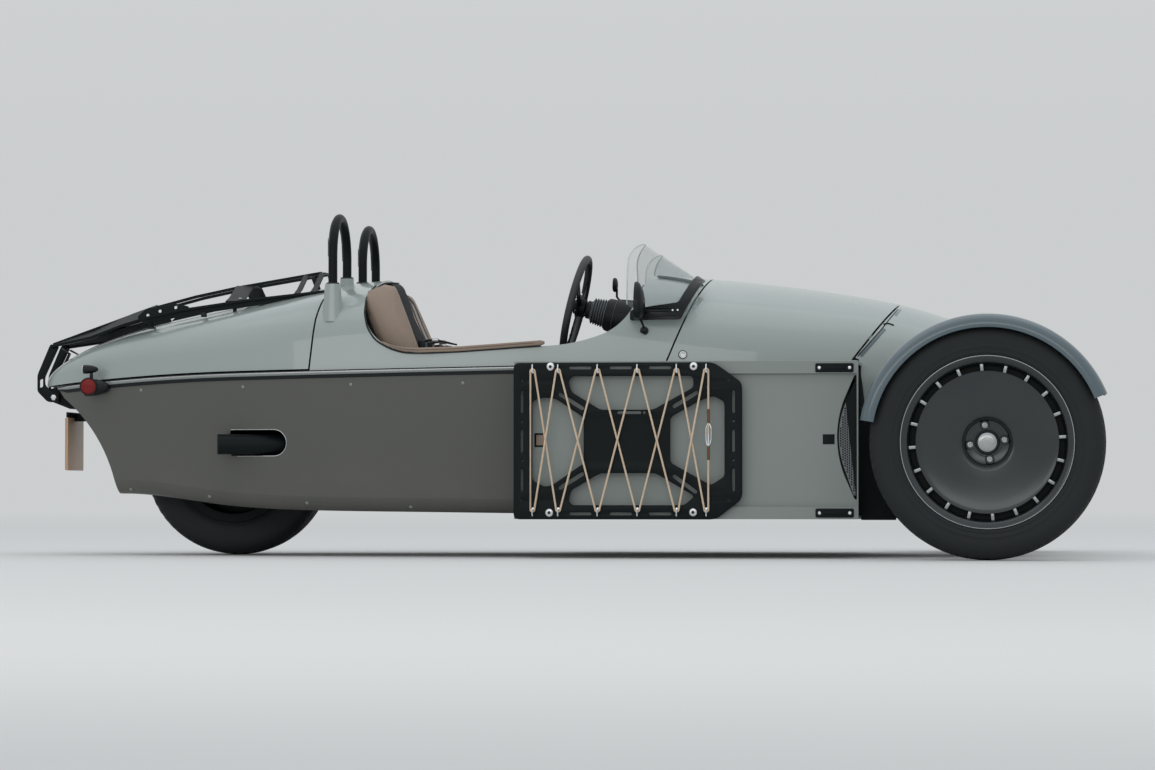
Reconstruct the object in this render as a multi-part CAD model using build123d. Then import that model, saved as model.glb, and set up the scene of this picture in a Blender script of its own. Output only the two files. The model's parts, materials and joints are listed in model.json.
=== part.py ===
from build123d import *

import math
import os

os.makedirs("parts", exist_ok=True)

# Driving dimensions in millimetres.
# Stations along the car are measured from the front axle, forward positive.
# +X points forward, +Y to the car's left and +Z up from the ground.
WHEELBASE = 2568.0
TRACK_HALF = 838.0
REAR_REACH = 3260.0

# Front wheel
TYRE_R = 371.0
TYRE_W = 130.0
BEAD_R = 260.0
BEAD_HALF = 46.0
BEAD_FLARE = 0.5
BEAD_FIT = 0.2
RIM_R = 272.0
RIM_W = 112.0
BARREL_R = 250.0
BARREL_WALL = 5.0
DISC_R = 225.0
DISC_THICK = 6.0
VANE_COUNT = 20
VANE_THICK = 9.0
BACKING_R = 205.0
BACKING_THICK = 3.0
HUB_RECESS_R = 83.0
HUB_FACE_R = 68.0
BORE_FIT = 0.1

# Rear wheel
REAR_TYRE_R = 317.0
REAR_TYRE_W = 195.0
REAR_RIM_R = 205.0
REAR_BEAD_R = 190.0
REAR_BEAD_HALF = 82.0
REAR_BARREL_R = 184.0

# Steering and suspension
KINGPIN_IN = 60.0
BALL_HALF = 150.0
STEER_ARM = 120.0
TIE_ROD_R = 10.0
TIE_ROD_Z = 318.0
ARM_TUBE_R = 11.0
PICKUP_Y = 300.0
EYE_R = 20.0
EYE_H = 24.0
JOINT_GAP = 6.0

# Mudguards
GUARD_R = 404.0
GUARD_WALL = 4.0
GUARD_HALF = 86.0
GUARD_LIP = 44.0
GUARD_BEND = 34.0
GUARD_FRONT_DEG = 22.0
GUARD_REAR_DEG = 170.0

# Body
SHELL_WALL = 6.0
TUB_WALL = 12.0
WIDTH_Z = 600.0
ARCH_BASE_Z = 430.0
SHUT_GAP = 6.0
LID_LIFT = 5.0
RIM_SLOPE = 0.0165
RIM_Z_AT_TAIL = 612.3
RIM_BEND_X = -2500.0
RIM_TAIL_X = -3240.0
RIM_TAIL_Z = 570.0
LEAN = 8.0
STRIP_H = 17.0
STRIP_THICK = 4.0
TUB_FRONT_X = -430.0
FIREWALL_X = -950.0
SEAT_WALL_X = -2200.0
SEAT_WALL_THICK = 68.0
SEAT_WALL_TOP = 596.0
WELL_GAP = 28.0
FLOOR_Z = 168.0

# Side pods and carriers
POD_FACE_Y = 660.0
POD_PLATE = 30.0
POD_REAR_X = -1527.0
POD_FRONT_X = -414.0
POD_LOW_Z = 127.0
POD_TOP_Z = 636.0
POD_FLANGE = 40.0
POD_RECESS = 14.0
POD_LIP = 4.0
INTAKE_FRONT_X = -419.0
INTAKE_DEEP_X = -482.0
INTAKE_SHOULDER = 23.0
INTAKE_TOP_Z = 590.0
INTAKE_LOW_Z = 191.0
INTAKE_THICK = 4.0
INTAKE_BAR = 5.0
INTAKE_PITCH = 24.0
DUCT_Y = 440.0
DUCT_REAR_X = -600.0
DUCT_FRONT_X = -300.0
DUCT_WALL = 5.0
CARRIER_FACE_Y = 682.0
CARRIER_THICK = 8.0
CARRIER_REAR_X = -1526.0
CARRIER_FRONT_X = -785.0
CARRIER_LOW_Z = 126.0
CARRIER_TOP_Z = 632.0
CORD_R = 2.6
CORD_STEP = 5.8
HOOK_R = 5.0

# Hoops, cockpit and fittings
HOOP_X = -2166.0
HOOP_TOP_Z = 1149.0
HOOP_R = 17.0
HOOP_SPAN = 270.0
HOOP_FIT = 1.0
SEAT_Y = 290.0
SEAT_MID_Y = 240.0
SEAT_HALF = 185.0
SEAT_RAIL_H = 24.0
COAMING_R = 10.0
WHEEL_TILT = 14.0
WHEEL_RIM_R = 161.0
WHEEL_GRIP_R = 14.0
WHEEL_X = -1368.0
SHAFT_R = 10.0
BOOT_R = 42.0
BOOT_RIBS = 6
BOOT_PITCH = 8.5
WHEEL_Z = 832.0
SCREEN_Y = 305.0
SCREEN_R = 190.0
SCREEN_WALL = 4.0

FRONT_X = GUARD_R * math.cos(math.radians(GUARD_FRONT_DEG))
AXLE_X = (REAR_REACH - FRONT_X) / 2

# The car body's sections from tail to nose. Columns: station, half width at
# WIDTH_Z, crest height, crown radius, shoulder radius, floor height, floor half width.
BODY = [
    (-3225, 72, 612, 300, 20, 210, 50),
    (-3196, 104, 642, 350, 30, 210, 72),
    (-3131, 156, 686, 450, 55, 209, 118),
    (-3054, 202, 722, 550, 80, 208, 160),
    (-2887, 280, 778, 700, 110, 208, 232),
    (-2568, 402, 850, 900, 150, 172, 350),
    (-2230, 480, 916, 1100, 170, 153, 430),
    (-1850, 525, 948, 1300, 175, 148, 478),
    (-1450, 532, 955, 1300, 180, 143, 486),
    (-1137, 518, 948, 1000, 200, 140, 474),
    (-800, 468, 922, 760, 220, 137, 428),
    (-445, 385, 874, 580, 200, 134, 350),
    (-311, 352, 848, 520, 190, 132, 320),
    (-120, 306, 792, 450, 165, 130, 280),
    (60, 255, 716, 380, 130, 130, 230),
    (180, 208, 640, 320, 90, 130, 180),
]


def outline(start, *steps):
    """A closed face in the XZ plane. A step of two numbers is a line to that point,
    and a step of four is an arc through the first point to the second."""
    edges = []
    here = Vector(start[0], 0, start[1])
    for step in list(steps) + [start]:
        there = Vector(step[-2], 0, step[-1])
        if len(step) == 4:
            edges.append(Edge.make_three_point_arc(here, Vector(step[0], 0, step[1]), there))
        elif (there - here).length > 1e-6:
            edges.append(Edge.make_line(here, there))
        here = there
    return Face(Wire(edges))


def slab(face, y_low, y_high):
    """The XZ face pushed out along Y between two planes."""
    moved = Pos(0, y_low, 0) * face
    return extrude(moved, amount=y_high - y_low, dir=(0, 1, 0))


def rounded(corners, radius):
    """A closed face in the XZ plane with each of its corners rounded."""
    face = outline(corners[0], *corners[1:])
    return face.fillet_2d(radius, face.vertices())


def slot(x, z, length, width, turn=0.0):
    """A long hole with round ends, as a face in the XZ plane."""
    half, r = (length - width) / 2, width / 2
    face = outline((-half, -r), (half, -r), (half + r, 0, half, r), (-half, r), (-half - r, 0, -half, -r))
    return Pos(x, 0, z) * Rot(0, -turn, 0) * face


def strip(rows, thick):
    """A bent flat bar along the car. Columns: station, inner Y and Z, outer Y and Z."""
    wires = [Wire.make_polygon([(x, y0, z0), (x, y1, z1), (x, y1, z1 - thick), (x, y0, z0 - thick)])
             for x, y0, z0, y1, z1 in rows]
    return Solid.make_loft(wires, ruled=True)


def block(x_low, x_high, y_low, y_high, z_low, z_high):
    size = (x_high - x_low, y_high - y_low, z_high - z_low)
    return Pos((x_low + x_high) / 2, (y_low + y_high) / 2, (z_low + z_high) / 2) * Box(*size)


def rod(start, end, radius):
    start, end = Vector(start), Vector(end)
    plane = Plane(origin=start, z_dir=end - start)
    return extrude(plane * Circle(radius), amount=(end - start).length)


def turned(points, x, z, y=0.0):
    """A solid of revolution about an axle along Y. Points are (radius, offset along Y),
    joined by lines, and a point of four numbers ends an arc through its first pair."""
    edges = []
    here = Vector(x + points[0][0], y + points[0][1], z)
    for point in list(points[1:]) + [points[0]]:
        there = Vector(x + point[-2], y + point[-1], z)
        if len(point) == 4:
            middle = Vector(x + point[0], y + point[1], z)
            edges.append(Edge.make_three_point_arc(here, middle, there))
        elif (there - here).length > 1e-6:
            edges.append(Edge.make_line(here, there))
        here = there
    face = Face(Wire(edges))
    return revolve(face, axis=Axis((x, 0, z), (0, 1, 0)))


def mirrored(shape):
    """The same piece on the car's other side."""
    return mirror(shape, about=Plane.XZ)


# The body's sections
def arch_wire(station, half, crest, crown, shoulder, grow):
    """An arch: leaning sides, rounded shoulders and a shallow crown, grown by a wall."""
    lean = math.radians(LEAN)
    half, crest, crown, shoulder = half + grow, crest + grow, crown + grow, shoulder + grow
    foot_y = half + (WIDTH_Z - ARCH_BASE_Z) * math.tan(lean)
    foot_z = ARCH_BASE_Z
    up = (-math.sin(lean), math.cos(lean))
    inward = (-math.cos(lean), -math.sin(lean))
    # The shoulder's centre lies on the side moved in by its radius,
    # and at the difference of the two radii from the crown's centre.
    crown_z = crest - crown
    base_y = foot_y + shoulder * inward[0]
    base_z = foot_z + shoulder * inward[1] - crown_z
    b = base_y * up[0] + base_z * up[1]
    c = base_y**2 + base_z**2 - (crown - shoulder) ** 2
    rise = -b + math.sqrt(b * b - c)
    centre_y, centre_z = base_y + rise * up[0], base_z + rise * up[1]
    side_y, side_z = foot_y + rise * up[0], foot_z + rise * up[1]
    scale = crown / (crown - shoulder)
    top_y, top_z = centre_y * scale, centre_z * scale + crown_z
    side_angle = math.atan2(math.sin(lean), math.cos(lean))
    top_angle = math.atan2(centre_z, centre_y)
    mid = (side_angle + top_angle) / 2
    mid_y = centre_y + shoulder * math.cos(mid)
    mid_z = centre_z + crown_z + shoulder * math.sin(mid)

    def at(y, z):
        return Vector(station, y, z)

    return Wire([
        Edge.make_line(at(foot_y, foot_z), at(side_y, side_z)),
        Edge.make_three_point_arc(at(side_y, side_z), at(mid_y, mid_z), at(top_y, top_z)),
        Edge.make_three_point_arc(at(top_y, top_z), at(0, crest), at(-top_y, top_z)),
        Edge.make_three_point_arc(at(-top_y, top_z), at(-mid_y, mid_z), at(-side_y, side_z)),
        Edge.make_line(at(-side_y, side_z), at(-foot_y, foot_z)),
        Edge.make_line(at(-foot_y, foot_z), at(foot_y, foot_z)),
    ])


def arch_body(grow):
    """The whole upper body as a solid, grown outwards by a wall or inwards below zero."""
    wires = [arch_wire(x, half, crest, crown, shoulder, grow)
             for x, half, crest, crown, shoulder, floor, floor_half in BODY]
    return Solid.make_loft(wires)


TUB_TOP_Z = 680.0
TUB_CORNER = 42.0


def tub_wire(station, half, floor, floor_half, grow):
    """A boat section: flared sides, rounded bilges and a flat floor."""
    half, floor, floor_half = half + grow, floor - grow, floor_half + grow
    slope = (half - floor_half) / (WIDTH_Z - floor)
    top_y = half + slope * (TUB_TOP_Z - WIDTH_Z)
    corner = TUB_CORNER + grow
    side = Vector(slope, 1.0, 0).normalized()
    turn = math.atan2(side.X, side.Y)
    reach = corner * math.tan((math.pi / 2 + turn) / 2)
    low = Vector(floor_half - reach, floor, 0)
    high = Vector(floor_half + side.X * reach, floor + side.Y * reach, 0)
    centre = Vector(low.X, floor + corner, 0)
    middle_dir = (Vector(floor_half, floor, 0) - centre).normalized()
    middle = centre + middle_dir * corner

    def at(point, sign):
        return Vector(station, sign * point.X, point.Y)

    top = Vector(top_y, TUB_TOP_Z, 0)
    return Wire([
        Edge.make_line(at(top, 1), at(top, -1)),
        Edge.make_line(at(top, -1), at(high, -1)),
        Edge.make_three_point_arc(at(high, -1), at(middle, -1), at(low, -1)),
        Edge.make_line(at(low, -1), at(low, 1)),
        Edge.make_three_point_arc(at(low, 1), at(middle, 1), at(high, 1)),
        Edge.make_line(at(high, 1), at(top, 1)),
    ])


def tub_body(grow):
    wires = [tub_wire(x, half, floor, floor_half, grow)
             for x, half, crest, crown, shoulder, floor, floor_half in BODY]
    return Solid.make_loft(wires)


BIG = 900.0


def rim_height(station):
    """Height of the joint between tub and upper body on its straight stretch."""
    return RIM_Z_AT_TAIL + RIM_SLOPE * (station - RIM_BEND_X)


def rim_line(lift):
    """The joint's side profile as edges: one straight run and one arc at the tail."""
    bend = (RIM_BEND_X, RIM_Z_AT_TAIL + lift)
    span = RIM_TAIL_X - RIM_BEND_X
    fall = RIM_TAIL_Z - RIM_Z_AT_TAIL
    sag = (fall - RIM_SLOPE * span) / 4
    middle = (RIM_BEND_X + span / 2, RIM_Z_AT_TAIL + lift + RIM_SLOPE * span / 2 + sag)
    tail = (RIM_TAIL_X, RIM_TAIL_Z + lift)
    return bend, middle, tail


def above_rim(lift):
    bend, middle, tail = rim_line(lift)
    nose = (300.0, rim_height(300.0) + lift)
    face = outline(nose, bend, middle + tail, (RIM_TAIL_X - 100, RIM_TAIL_Z + lift),
                   (RIM_TAIL_X - 100, 1300.0), (300.0, 1300.0))
    return slab(face, -BIG, BIG)


def rim_band(low, high):
    """The layer between two heights above the joint, following it."""
    b_low, m_low, t_low = rim_line(low)
    b_high, m_high, t_high = rim_line(high)
    nose_low = (-900.0, rim_height(-900.0) + low)
    nose_high = (-900.0, rim_height(-900.0) + high)
    face = outline(nose_low, b_low, m_low + t_low, t_high, m_high + b_high, nose_high)
    return slab(face, -BIG, BIG)


# Side profiles of the shut lines, from the crest down to the joint
TAIL_SHUT = [(-2190.0, 960.0), (-2221.0, 787.0), (-2243.0, 560.0)]
BONNET_REAR = [(-914.0, 965.0), (-934.0, 916.0), (-1040.0, 656.0), (-1060.0, 606.0)]
BONNET_FRONT = [(-288.0, 860.0), (-301.0, 838.0), (-439.0, 655.0), (-470.0, 606.0)]


def shifted(points, dx):
    return [(x + dx, z) for x, z in points]


def panel(rear, front, lift):
    """A piece of the upper shell between two shut lines."""
    shell = UPPER_OUTER - UPPER_INNER
    face = outline(rear[0], *rear[1:], *reversed(front))
    region = slab(face, -BIG, BIG)
    return shell & region & above_rim(lift)


UPPER_OUTER = arch_body(0.0)
UPPER_INNER = arch_body(-SHELL_WALL)
UPPER_RIB = arch_body(-SHELL_WALL - 10)
TUB_OUTER = tub_body(0.0)
TUB_INNER = tub_body(-TUB_WALL)


def tail_lid():
    tail_edge = [(-3300.0, 1000.0), (-3300.0, 560.0)]
    end_wall = [(-3225.0 + SHELL_WALL, 1000.0), (-3225.0 + SHELL_WALL, 560.0)]
    rear = tail_edge
    front = shifted(TAIL_SHUT, -SHUT_GAP / 2)
    face = outline(rear[0], *rear[1:], *reversed(front))
    region = slab(face, -BIG, BIG)
    hollow = UPPER_INNER & slab(outline(end_wall[0], end_wall[1], (-2100, 560), (-2100, 1000)), -BIG, BIG)
    return (UPPER_OUTER & region & above_rim(LID_LIFT)) - hollow


COCKPIT_CUT = outline(
    (-2037, 960),
    (-2052, 858),
    (-2036, 760, -1961, 692),
    (-1913, 675, -1852, 670),
    (-1734, 673),
    (-1444, 693),
    (-1340, 706, -1255, 732),
    (-1190, 778, -1150, 850),
    (-1125, 960),
)


# The painted bosses that the hoops' legs come out of.
# Columns: Y, base and top height, base and top radius.
HOOP_BOSSES = [
    (SEAT_Y - HOOP_SPAN / 2, 880.0, 937.0, 24.0, 23.0),
    (SEAT_Y + HOOP_SPAN / 2, 780.0, 905.0, 36.0, 26.0),
]


def cockpit_surround():
    rear = shifted(TAIL_SHUT, SHUT_GAP / 2)
    front = shifted(BONNET_REAR, -SHUT_GAP / 2)
    shell = panel(rear, front, 0.0)
    shell -= slab(COCKPIT_CUT, -BIG, BIG)
    for side in (-1, 1):
        for y, low, high, foot_r, top_r in HOOP_BOSSES:
            boss = Pos(HOOP_X, side * y, (low + high) / 2) * Cone(foot_r, top_r, high - low)
            shell += boss - UPPER_INNER
            shell -= rod((HOOP_X, side * y, 500), (HOOP_X, side * y, 1300), HOOP_R + HOOP_FIT)
    return shell


def bonnet():
    rear = shifted(BONNET_REAR, SHUT_GAP / 2)
    front = shifted(BONNET_FRONT, -SHUT_GAP / 2 - 1)
    return panel(rear, front, 0.0)


NOSE_LOW_Z = 445.0


def nose_cowl():
    """The front cowl: it reaches lower than the bonnet and is open at the mouth."""
    shell = UPPER_OUTER - UPPER_INNER
    rear = shifted(BONNET_FRONT[:3], SHUT_GAP / 2 + 1)
    face = outline(rear[0], rear[1], rear[2], (-424, 650), (-410, 560), (-398, NOSE_LOW_Z), (300, NOSE_LOW_Z), (300, 860))
    return shell & slab(face, -BIG, BIG)


def stern_cut(shift):
    """What the stern's hollow curve takes off the tub, moved forward by a wall."""
    face = outline(
        (-3400 + shift, 592),
        (-3194 + shift, 592),
        (-3149 + shift, 534),
        (-3035 + shift, 420, -2947 + shift, 207),
        (-2947 + shift, 60),
        (-3400 + shift, 60),
    )
    return slab(face, -BIG, BIG)


EXHAUST_X = (-2524.0, -2320.0)
EXHAUST_Z = (335.0, 421.0)
PIPE_Z = 373.0
PIPE_R = 34.0
PIPE_WALL = 4.0


def exhaust_slot():
    """The slot in each flank for the tail pipe, round at its front end."""
    low, high = EXHAUST_Z
    r = (high - low) / 2
    middle = (low + high) / 2
    face = outline((EXHAUST_X[0] + 8, low), (EXHAUST_X[1] - r, low),
                   (EXHAUST_X[1], middle, EXHAUST_X[1] - r, high), (EXHAUST_X[0] + 8, high),
                   (EXHAUST_X[0], middle, EXHAUST_X[0] + 8, low))
    return slab(face, -BIG, BIG)


def tub():
    below = block(-3400, TUB_FRONT_X, -BIG, BIG, 0, 900) - above_rim(0.0)
    outer = (TUB_OUTER & below) - stern_cut(0.0)
    inner = TUB_INNER - stern_cut(TUB_WALL)
    cells = [
        (-3400, SEAT_WALL_X),
        (SEAT_WALL_X + SEAT_WALL_THICK, FIREWALL_X - TUB_WALL),
        (FIREWALL_X, 0),
    ]
    for low, high in cells:
        outer -= inner & block(low, high, -BIG, BIG, FLOOR_Z, 900)
    outer -= block(SEAT_WALL_X - 1, SEAT_WALL_X + SEAT_WALL_THICK + 1, -BIG, BIG, SEAT_WALL_TOP, 900) & TUB_INNER
    well = REAR_TYRE_R + WELL_GAP
    half = REAR_TYRE_W / 2 + WELL_GAP
    outer -= block(-WHEELBASE - well, -WHEELBASE + well, -half, half, 0, 400)
    outer -= exhaust_slot()
    return outer


def waist_strips():
    """The bright strip that covers the tub's top edge on both flanks."""
    band = rim_band(-STRIP_H, 0.0) & block(-3180, POD_REAR_X - 1, -BIG, BIG, 0, 900)
    return (tub_body(STRIP_THICK) - TUB_OUTER) & band


def luggage_floor():
    """The tray between the rear wheel and the luggage space."""
    top = rim_height(RIM_BEND_X) - 12
    tray = tub_body(-TUB_WALL - 2) & block(-3000, SEAT_WALL_X, -BIG, BIG, top - 22, top)
    half = REAR_TYRE_W / 2 + WELL_GAP
    well = REAR_TYRE_R + WELL_GAP
    tray -= block(-WHEELBASE - well, -WHEELBASE + well, -half, half, 0, 700)
    cover = block(-WHEELBASE - well - 4, -WHEELBASE + well + 4, -half - 4, half + 4, top - 22, 668)
    cover -= block(-WHEELBASE - well, -WHEELBASE + well, -half, half, 0, 664)
    return tray + cover


def engine_block():
    return block(-860, TUB_FRONT_X, -170, 170, 200, 690)


# Front frame
FRAME_HALF = PICKUP_Y
FRAME_PLATE = 16.0
FRAME_TOP_Z = 436.0
NOSE_RIB_X = -392.0


def front_frame():
    """The cast frame that carries the wishbones, with open bays in its side plates."""
    back = TUB_FRONT_X
    side = outline((back, 134), (-300, 134), (-240, 160), (150, 175), (190, 260), (190, 400),
                   (150, FRAME_TOP_Z), (-250, FRAME_TOP_Z), (back, 500))
    plate = slab(side, FRAME_HALF - FRAME_PLATE, FRAME_HALF)
    for x_low, x_high, z_low, z_high in [(-370, -230, 230, 390), (-60, 60, 250, 400)]:
        plate -= block(x_low, x_high, 200, 400, z_low, z_high)
    plate -= rod((-STEER_ARM, 200, TIE_ROD_Z), (-STEER_ARM, 400, TIE_ROD_Z), TIE_ROD_R + 4)
    frame = plate + mirrored(plate)
    inside = FRAME_HALF - FRAME_PLATE
    for x_low, x_high, z_low, z_high in [(back, back + 16, 140, 240), (-200, -170, 170, 430),
                                         (170, 190, 260, 400), (-20, 10, 172, 196)]:
        frame += block(x_low, x_high, -inside, inside, z_low, z_high)
    # A rib inside the front cowl stands on two ears of the side plates.
    low, high = NOSE_RIB_X, NOSE_RIB_X + 10
    rib = (UPPER_INNER - UPPER_RIB) & block(low, high, -BIG, BIG, FRAME_TOP_Z, 1000)
    frame += rib
    for side in (-1, 1):
        frame += block(low, high, *sorted((side * inside, side * 382)), FRAME_TOP_Z - 20, FRAME_TOP_Z + 12)
    return frame


def wishbones():
    """Both A-arms of one side as two solids, with an eye at the outer end of each."""
    kingpin = TRACK_HALF - KINGPIN_IN
    arms = []
    for low, spread, inner_z, sign in [(True, 165, 225, -1), (False, 120, 400, 1)]:
        eye_z = TYRE_R + sign * BALL_HALF
        eye = rod((0, kingpin, eye_z - EYE_H / 2), (0, kingpin, eye_z + EYE_H / 2), EYE_R)
        pin_end = eye_z - sign * 26
        arm = eye + rod((0, kingpin, eye_z), (0, kingpin, pin_end), 8)
        for fore in (-1, 1):
            foot = (fore * spread, PICKUP_Y + 24, inner_z)
            arm += rod((fore * 4, kingpin - 6, eye_z), foot, ARM_TUBE_R)
            arm += block(fore * spread - 20, fore * spread + 20, PICKUP_Y, PICKUP_Y + 36,
                         inner_z - 18, inner_z + 18)
        arms.append(arm)
    return arms[0] + arms[1]


def coilover():
    """Spring and damper from the lower arm's outer end up to the frame."""
    low = Vector(-54, 640, 250)
    high = Vector(-60, PICKUP_Y + 30, 430)
    along_it = (high - low).normalized()
    body = rod(low, high, 12)
    body += rod(low + along_it * 60, high - along_it * 40, 30)
    body += block(-78, -42, PICKUP_Y, PICKUP_Y + 44, 410, 436)
    body += block(-66, -42, 626, 654, 224, 262)
    return body - wishbones()


def knuckle():
    """Upright, bearing housing, steering arm and brake caliper of one front wheel."""
    kingpin = TRACK_HALF - KINGPIN_IN
    low = TYRE_R - BALL_HALF + EYE_H / 2 + JOINT_GAP
    high = TYRE_R + BALL_HALF - EYE_H / 2 - JOINT_GAP
    body = block(-26, 26, kingpin - 20, kingpin + 20, low, high)
    body += rod((0, kingpin - 20, TYRE_R), (0, kingpin + 36, TYRE_R), 52)
    body += rod((0, kingpin + 30, TYRE_R), (0, TRACK_HALF - 4, TYRE_R), 16)
    arm_top = TIE_ROD_Z - 20
    body += block(-STEER_ARM - 16, 0, kingpin - 48, kingpin - 20, arm_top - 14, arm_top)
    body += block(-26, 26, kingpin - 48, kingpin, arm_top - 14, arm_top)
    body += rod((-STEER_ARM, kingpin - 34, arm_top - 14), (-STEER_ARM, kingpin - 34, arm_top), 16)
    body += block(60, 150, kingpin - 14, kingpin + 26, TYRE_R - 55, TYRE_R + 55)
    body += block(0, 70, kingpin - 14, kingpin + 10, TYRE_R - 30, TYRE_R + 30)
    for z_low, z_high in [(low - 1, low + 30), (high - 30, high + 1)]:
        body -= rod((0, kingpin, z_low), (0, kingpin, z_high), 8.5)
    return body


def tie_rods():
    """The steering rack's bar with a rod end over each steering arm."""
    reach = TRACK_HALF - KINGPIN_IN - 34
    bar = rod((-STEER_ARM, -reach, TIE_ROD_Z), (-STEER_ARM, reach, TIE_ROD_Z), TIE_ROD_R)
    for side in (-1, 1):
        centre = (-STEER_ARM, side * reach)
        bar += rod((*centre, TIE_ROD_Z - 17), (*centre, TIE_ROD_Z + 14), 15)
    return bar


def steering_rack():
    """The rack's housing, clamped to the frame's cross wall."""
    half = FRAME_HALF - FRAME_PLATE - 14
    tube = rod((-STEER_ARM, -half, TIE_ROD_Z), (-STEER_ARM, half, TIE_ROD_Z), 26)
    for y in (-180, 180):
        tube += block(-170, -STEER_ARM, y - 20, y + 20, TIE_ROD_Z - 22, TIE_ROD_Z + 22)
    tube -= rod((-STEER_ARM, -400, TIE_ROD_Z), (-STEER_ARM, 400, TIE_ROD_Z), TIE_ROD_R + BORE_FIT)
    return tube


def bead_y(rise):
    """Half width of the tyre's foot at a height above the bead seat."""
    return BEAD_HALF + BEAD_FLARE * rise


def front_tyre():
    half = TYRE_W / 2
    return turned([
        (BEAD_R + BEAD_FIT, -bead_y(0)), (RIM_R + 4, -bead_y(RIM_R + 4 - BEAD_R)), (320, -half, 352, -half + 8), (364, -48, TYRE_R - 2, -34),
        (TYRE_R, 0, TYRE_R - 2, 34), (364, 48, 352, half - 8), (320, half, RIM_R + 4, bead_y(RIM_R + 4 - BEAD_R)),
        (BEAD_R + BEAD_FIT, bead_y(0)),
    ], 0, TYRE_R, TRACK_HALF)


def front_rim():
    """Barrel, dished centre disc and the ring of short vanes between them."""
    flange_in, flange_out = -RIM_W / 2, RIM_W / 2
    seat, lip = bead_y(0) + BEAD_FIT, bead_y(RIM_R - BEAD_R) + BEAD_FIT
    barrel = turned([
        (BEAD_R, -seat), (RIM_R, -lip), (RIM_R, flange_in), (BARREL_R - BARREL_WALL, flange_in),
        (BARREL_R - BARREL_WALL, flange_out), (RIM_R, flange_out), (RIM_R, lip), (BEAD_R, seat),
    ], 0, TYRE_R, TRACK_HALF)
    disc = turned([
        (30, 4), (HUB_FACE_R, 4), (HUB_RECESS_R, 26), (150, 30, DISC_R, 42),
        (DISC_R, 42 - DISC_THICK), (150, 30 - DISC_THICK, HUB_RECESS_R - 4, 26 - DISC_THICK),
        (HUB_FACE_R, -8), (30, -8),
    ], 0, TYRE_R, TRACK_HALF)
    backing = turned([(BACKING_R, 6), (BARREL_R - 1, 6), (BARREL_R - 1, 6 + BACKING_THICK), (BACKING_R, 6 + BACKING_THICK)],
                     0, TYRE_R, TRACK_HALF)
    rim = barrel + disc + backing
    vane = block(DISC_R - 6, BARREL_R - 1, TRACK_HALF + 8, TRACK_HALF + 40, -VANE_THICK / 2, VANE_THICK / 2)
    for k in range(VANE_COUNT):
        turn = k * 360.0 / VANE_COUNT + 4
        rim += Pos(0, 0, TYRE_R) * Rot(0, turn, 0) * vane
    return rim


def front_hub():
    """Wheel hub with the brake disc, bored for the stub axle."""
    return turned([
        (16 + BORE_FIT, -40 + 22), (16 + BORE_FIT, -8), (HUB_FACE_R - 6, -8), (HUB_FACE_R - 6, -14),
        (140, -14), (140, -22), (60, -22), (40, -22),
    ], 0, TYRE_R, TRACK_HALF)


def mudguard():
    """A cycle guard: an arc over the tyre with a side lip, and two stays to the knuckle."""
    start, end = math.radians(GUARD_FRONT_DEG), math.radians(GUARD_REAR_DEG)
    inner = GUARD_R - GUARD_WALL
    outside = TRACK_HALF + GUARD_HALF
    centre = (GUARD_R - GUARD_BEND, outside - GUARD_BEND)

    def at(radius, y):
        return Vector(radius, y, TYRE_R)

    def on_bend(radius, turn):
        angle = math.radians(turn)
        return at(centre[0] + radius * math.cos(angle), centre[1] + radius * math.sin(angle))

    bend_in = GUARD_BEND - GUARD_WALL
    corners = [at(inner, TRACK_HALF - GUARD_HALF), at(GUARD_R, TRACK_HALF - GUARD_HALF)]
    lip = [at(GUARD_R - GUARD_LIP, outside), at(GUARD_R - GUARD_LIP, outside - GUARD_WALL)]
    section = Face(Wire([
        Edge.make_line(corners[0], corners[1]),
        Edge.make_line(corners[1], on_bend(GUARD_BEND, 0)),
        Edge.make_three_point_arc(*[on_bend(GUARD_BEND, turn) for turn in (0, 45, 90)]),
        Edge.make_line(on_bend(GUARD_BEND, 90), lip[0]),
        Edge.make_line(lip[0], lip[1]),
        Edge.make_line(lip[1], on_bend(bend_in, 90)),
        Edge.make_three_point_arc(*[on_bend(bend_in, turn) for turn in (90, 45, 0)]),
        Edge.make_line(on_bend(bend_in, 0), corners[0]),
    ]))
    axis = Axis((0, 0, TYRE_R), (0, 1, 0))
    section = section.rotate(axis, -math.degrees(start))
    guard = revolve(section, axis=axis, revolution_arc=-math.degrees(end - start))
    kingpin = TRACK_HALF - KINGPIN_IN
    knee_y = TRACK_HALF - TYRE_W / 2 - 24
    for turn in (62, 128):
        c, s = math.cos(math.radians(turn)), math.sin(math.radians(turn))
        rim_point = (inner * c, TRACK_HALF - GUARD_HALF + 7, TYRE_R + inner * s)
        elbow = (330 * c, knee_y, TYRE_R + 330 * s)
        root = (math.copysign(26, c), kingpin - 10, TYRE_R + 90)
        guard += rod(root, elbow, 7) + rod(elbow, rim_point, 7)
        guard += Pos(*elbow) * Sphere(7)
    return guard - block(-26, 26, kingpin - 20, kingpin + 20, 300, 600)


def rear_tyre():
    half = REAR_TYRE_W / 2
    return turned([
        (REAR_BEAD_R + BEAD_FIT, -REAR_BEAD_HALF), (214, -REAR_BEAD_HALF - 10), (270, -half), (292, -half + 8), (309, -half + 20, REAR_TYRE_R - 1, -half + 36),
        (REAR_TYRE_R, 0, REAR_TYRE_R - 1, half - 36), (309, half - 20, 292, half - 8),
        (270, half), (214, REAR_BEAD_HALF + 10), (REAR_BEAD_R + BEAD_FIT, REAR_BEAD_HALF),
    ], -WHEELBASE, REAR_TYRE_R)


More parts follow.
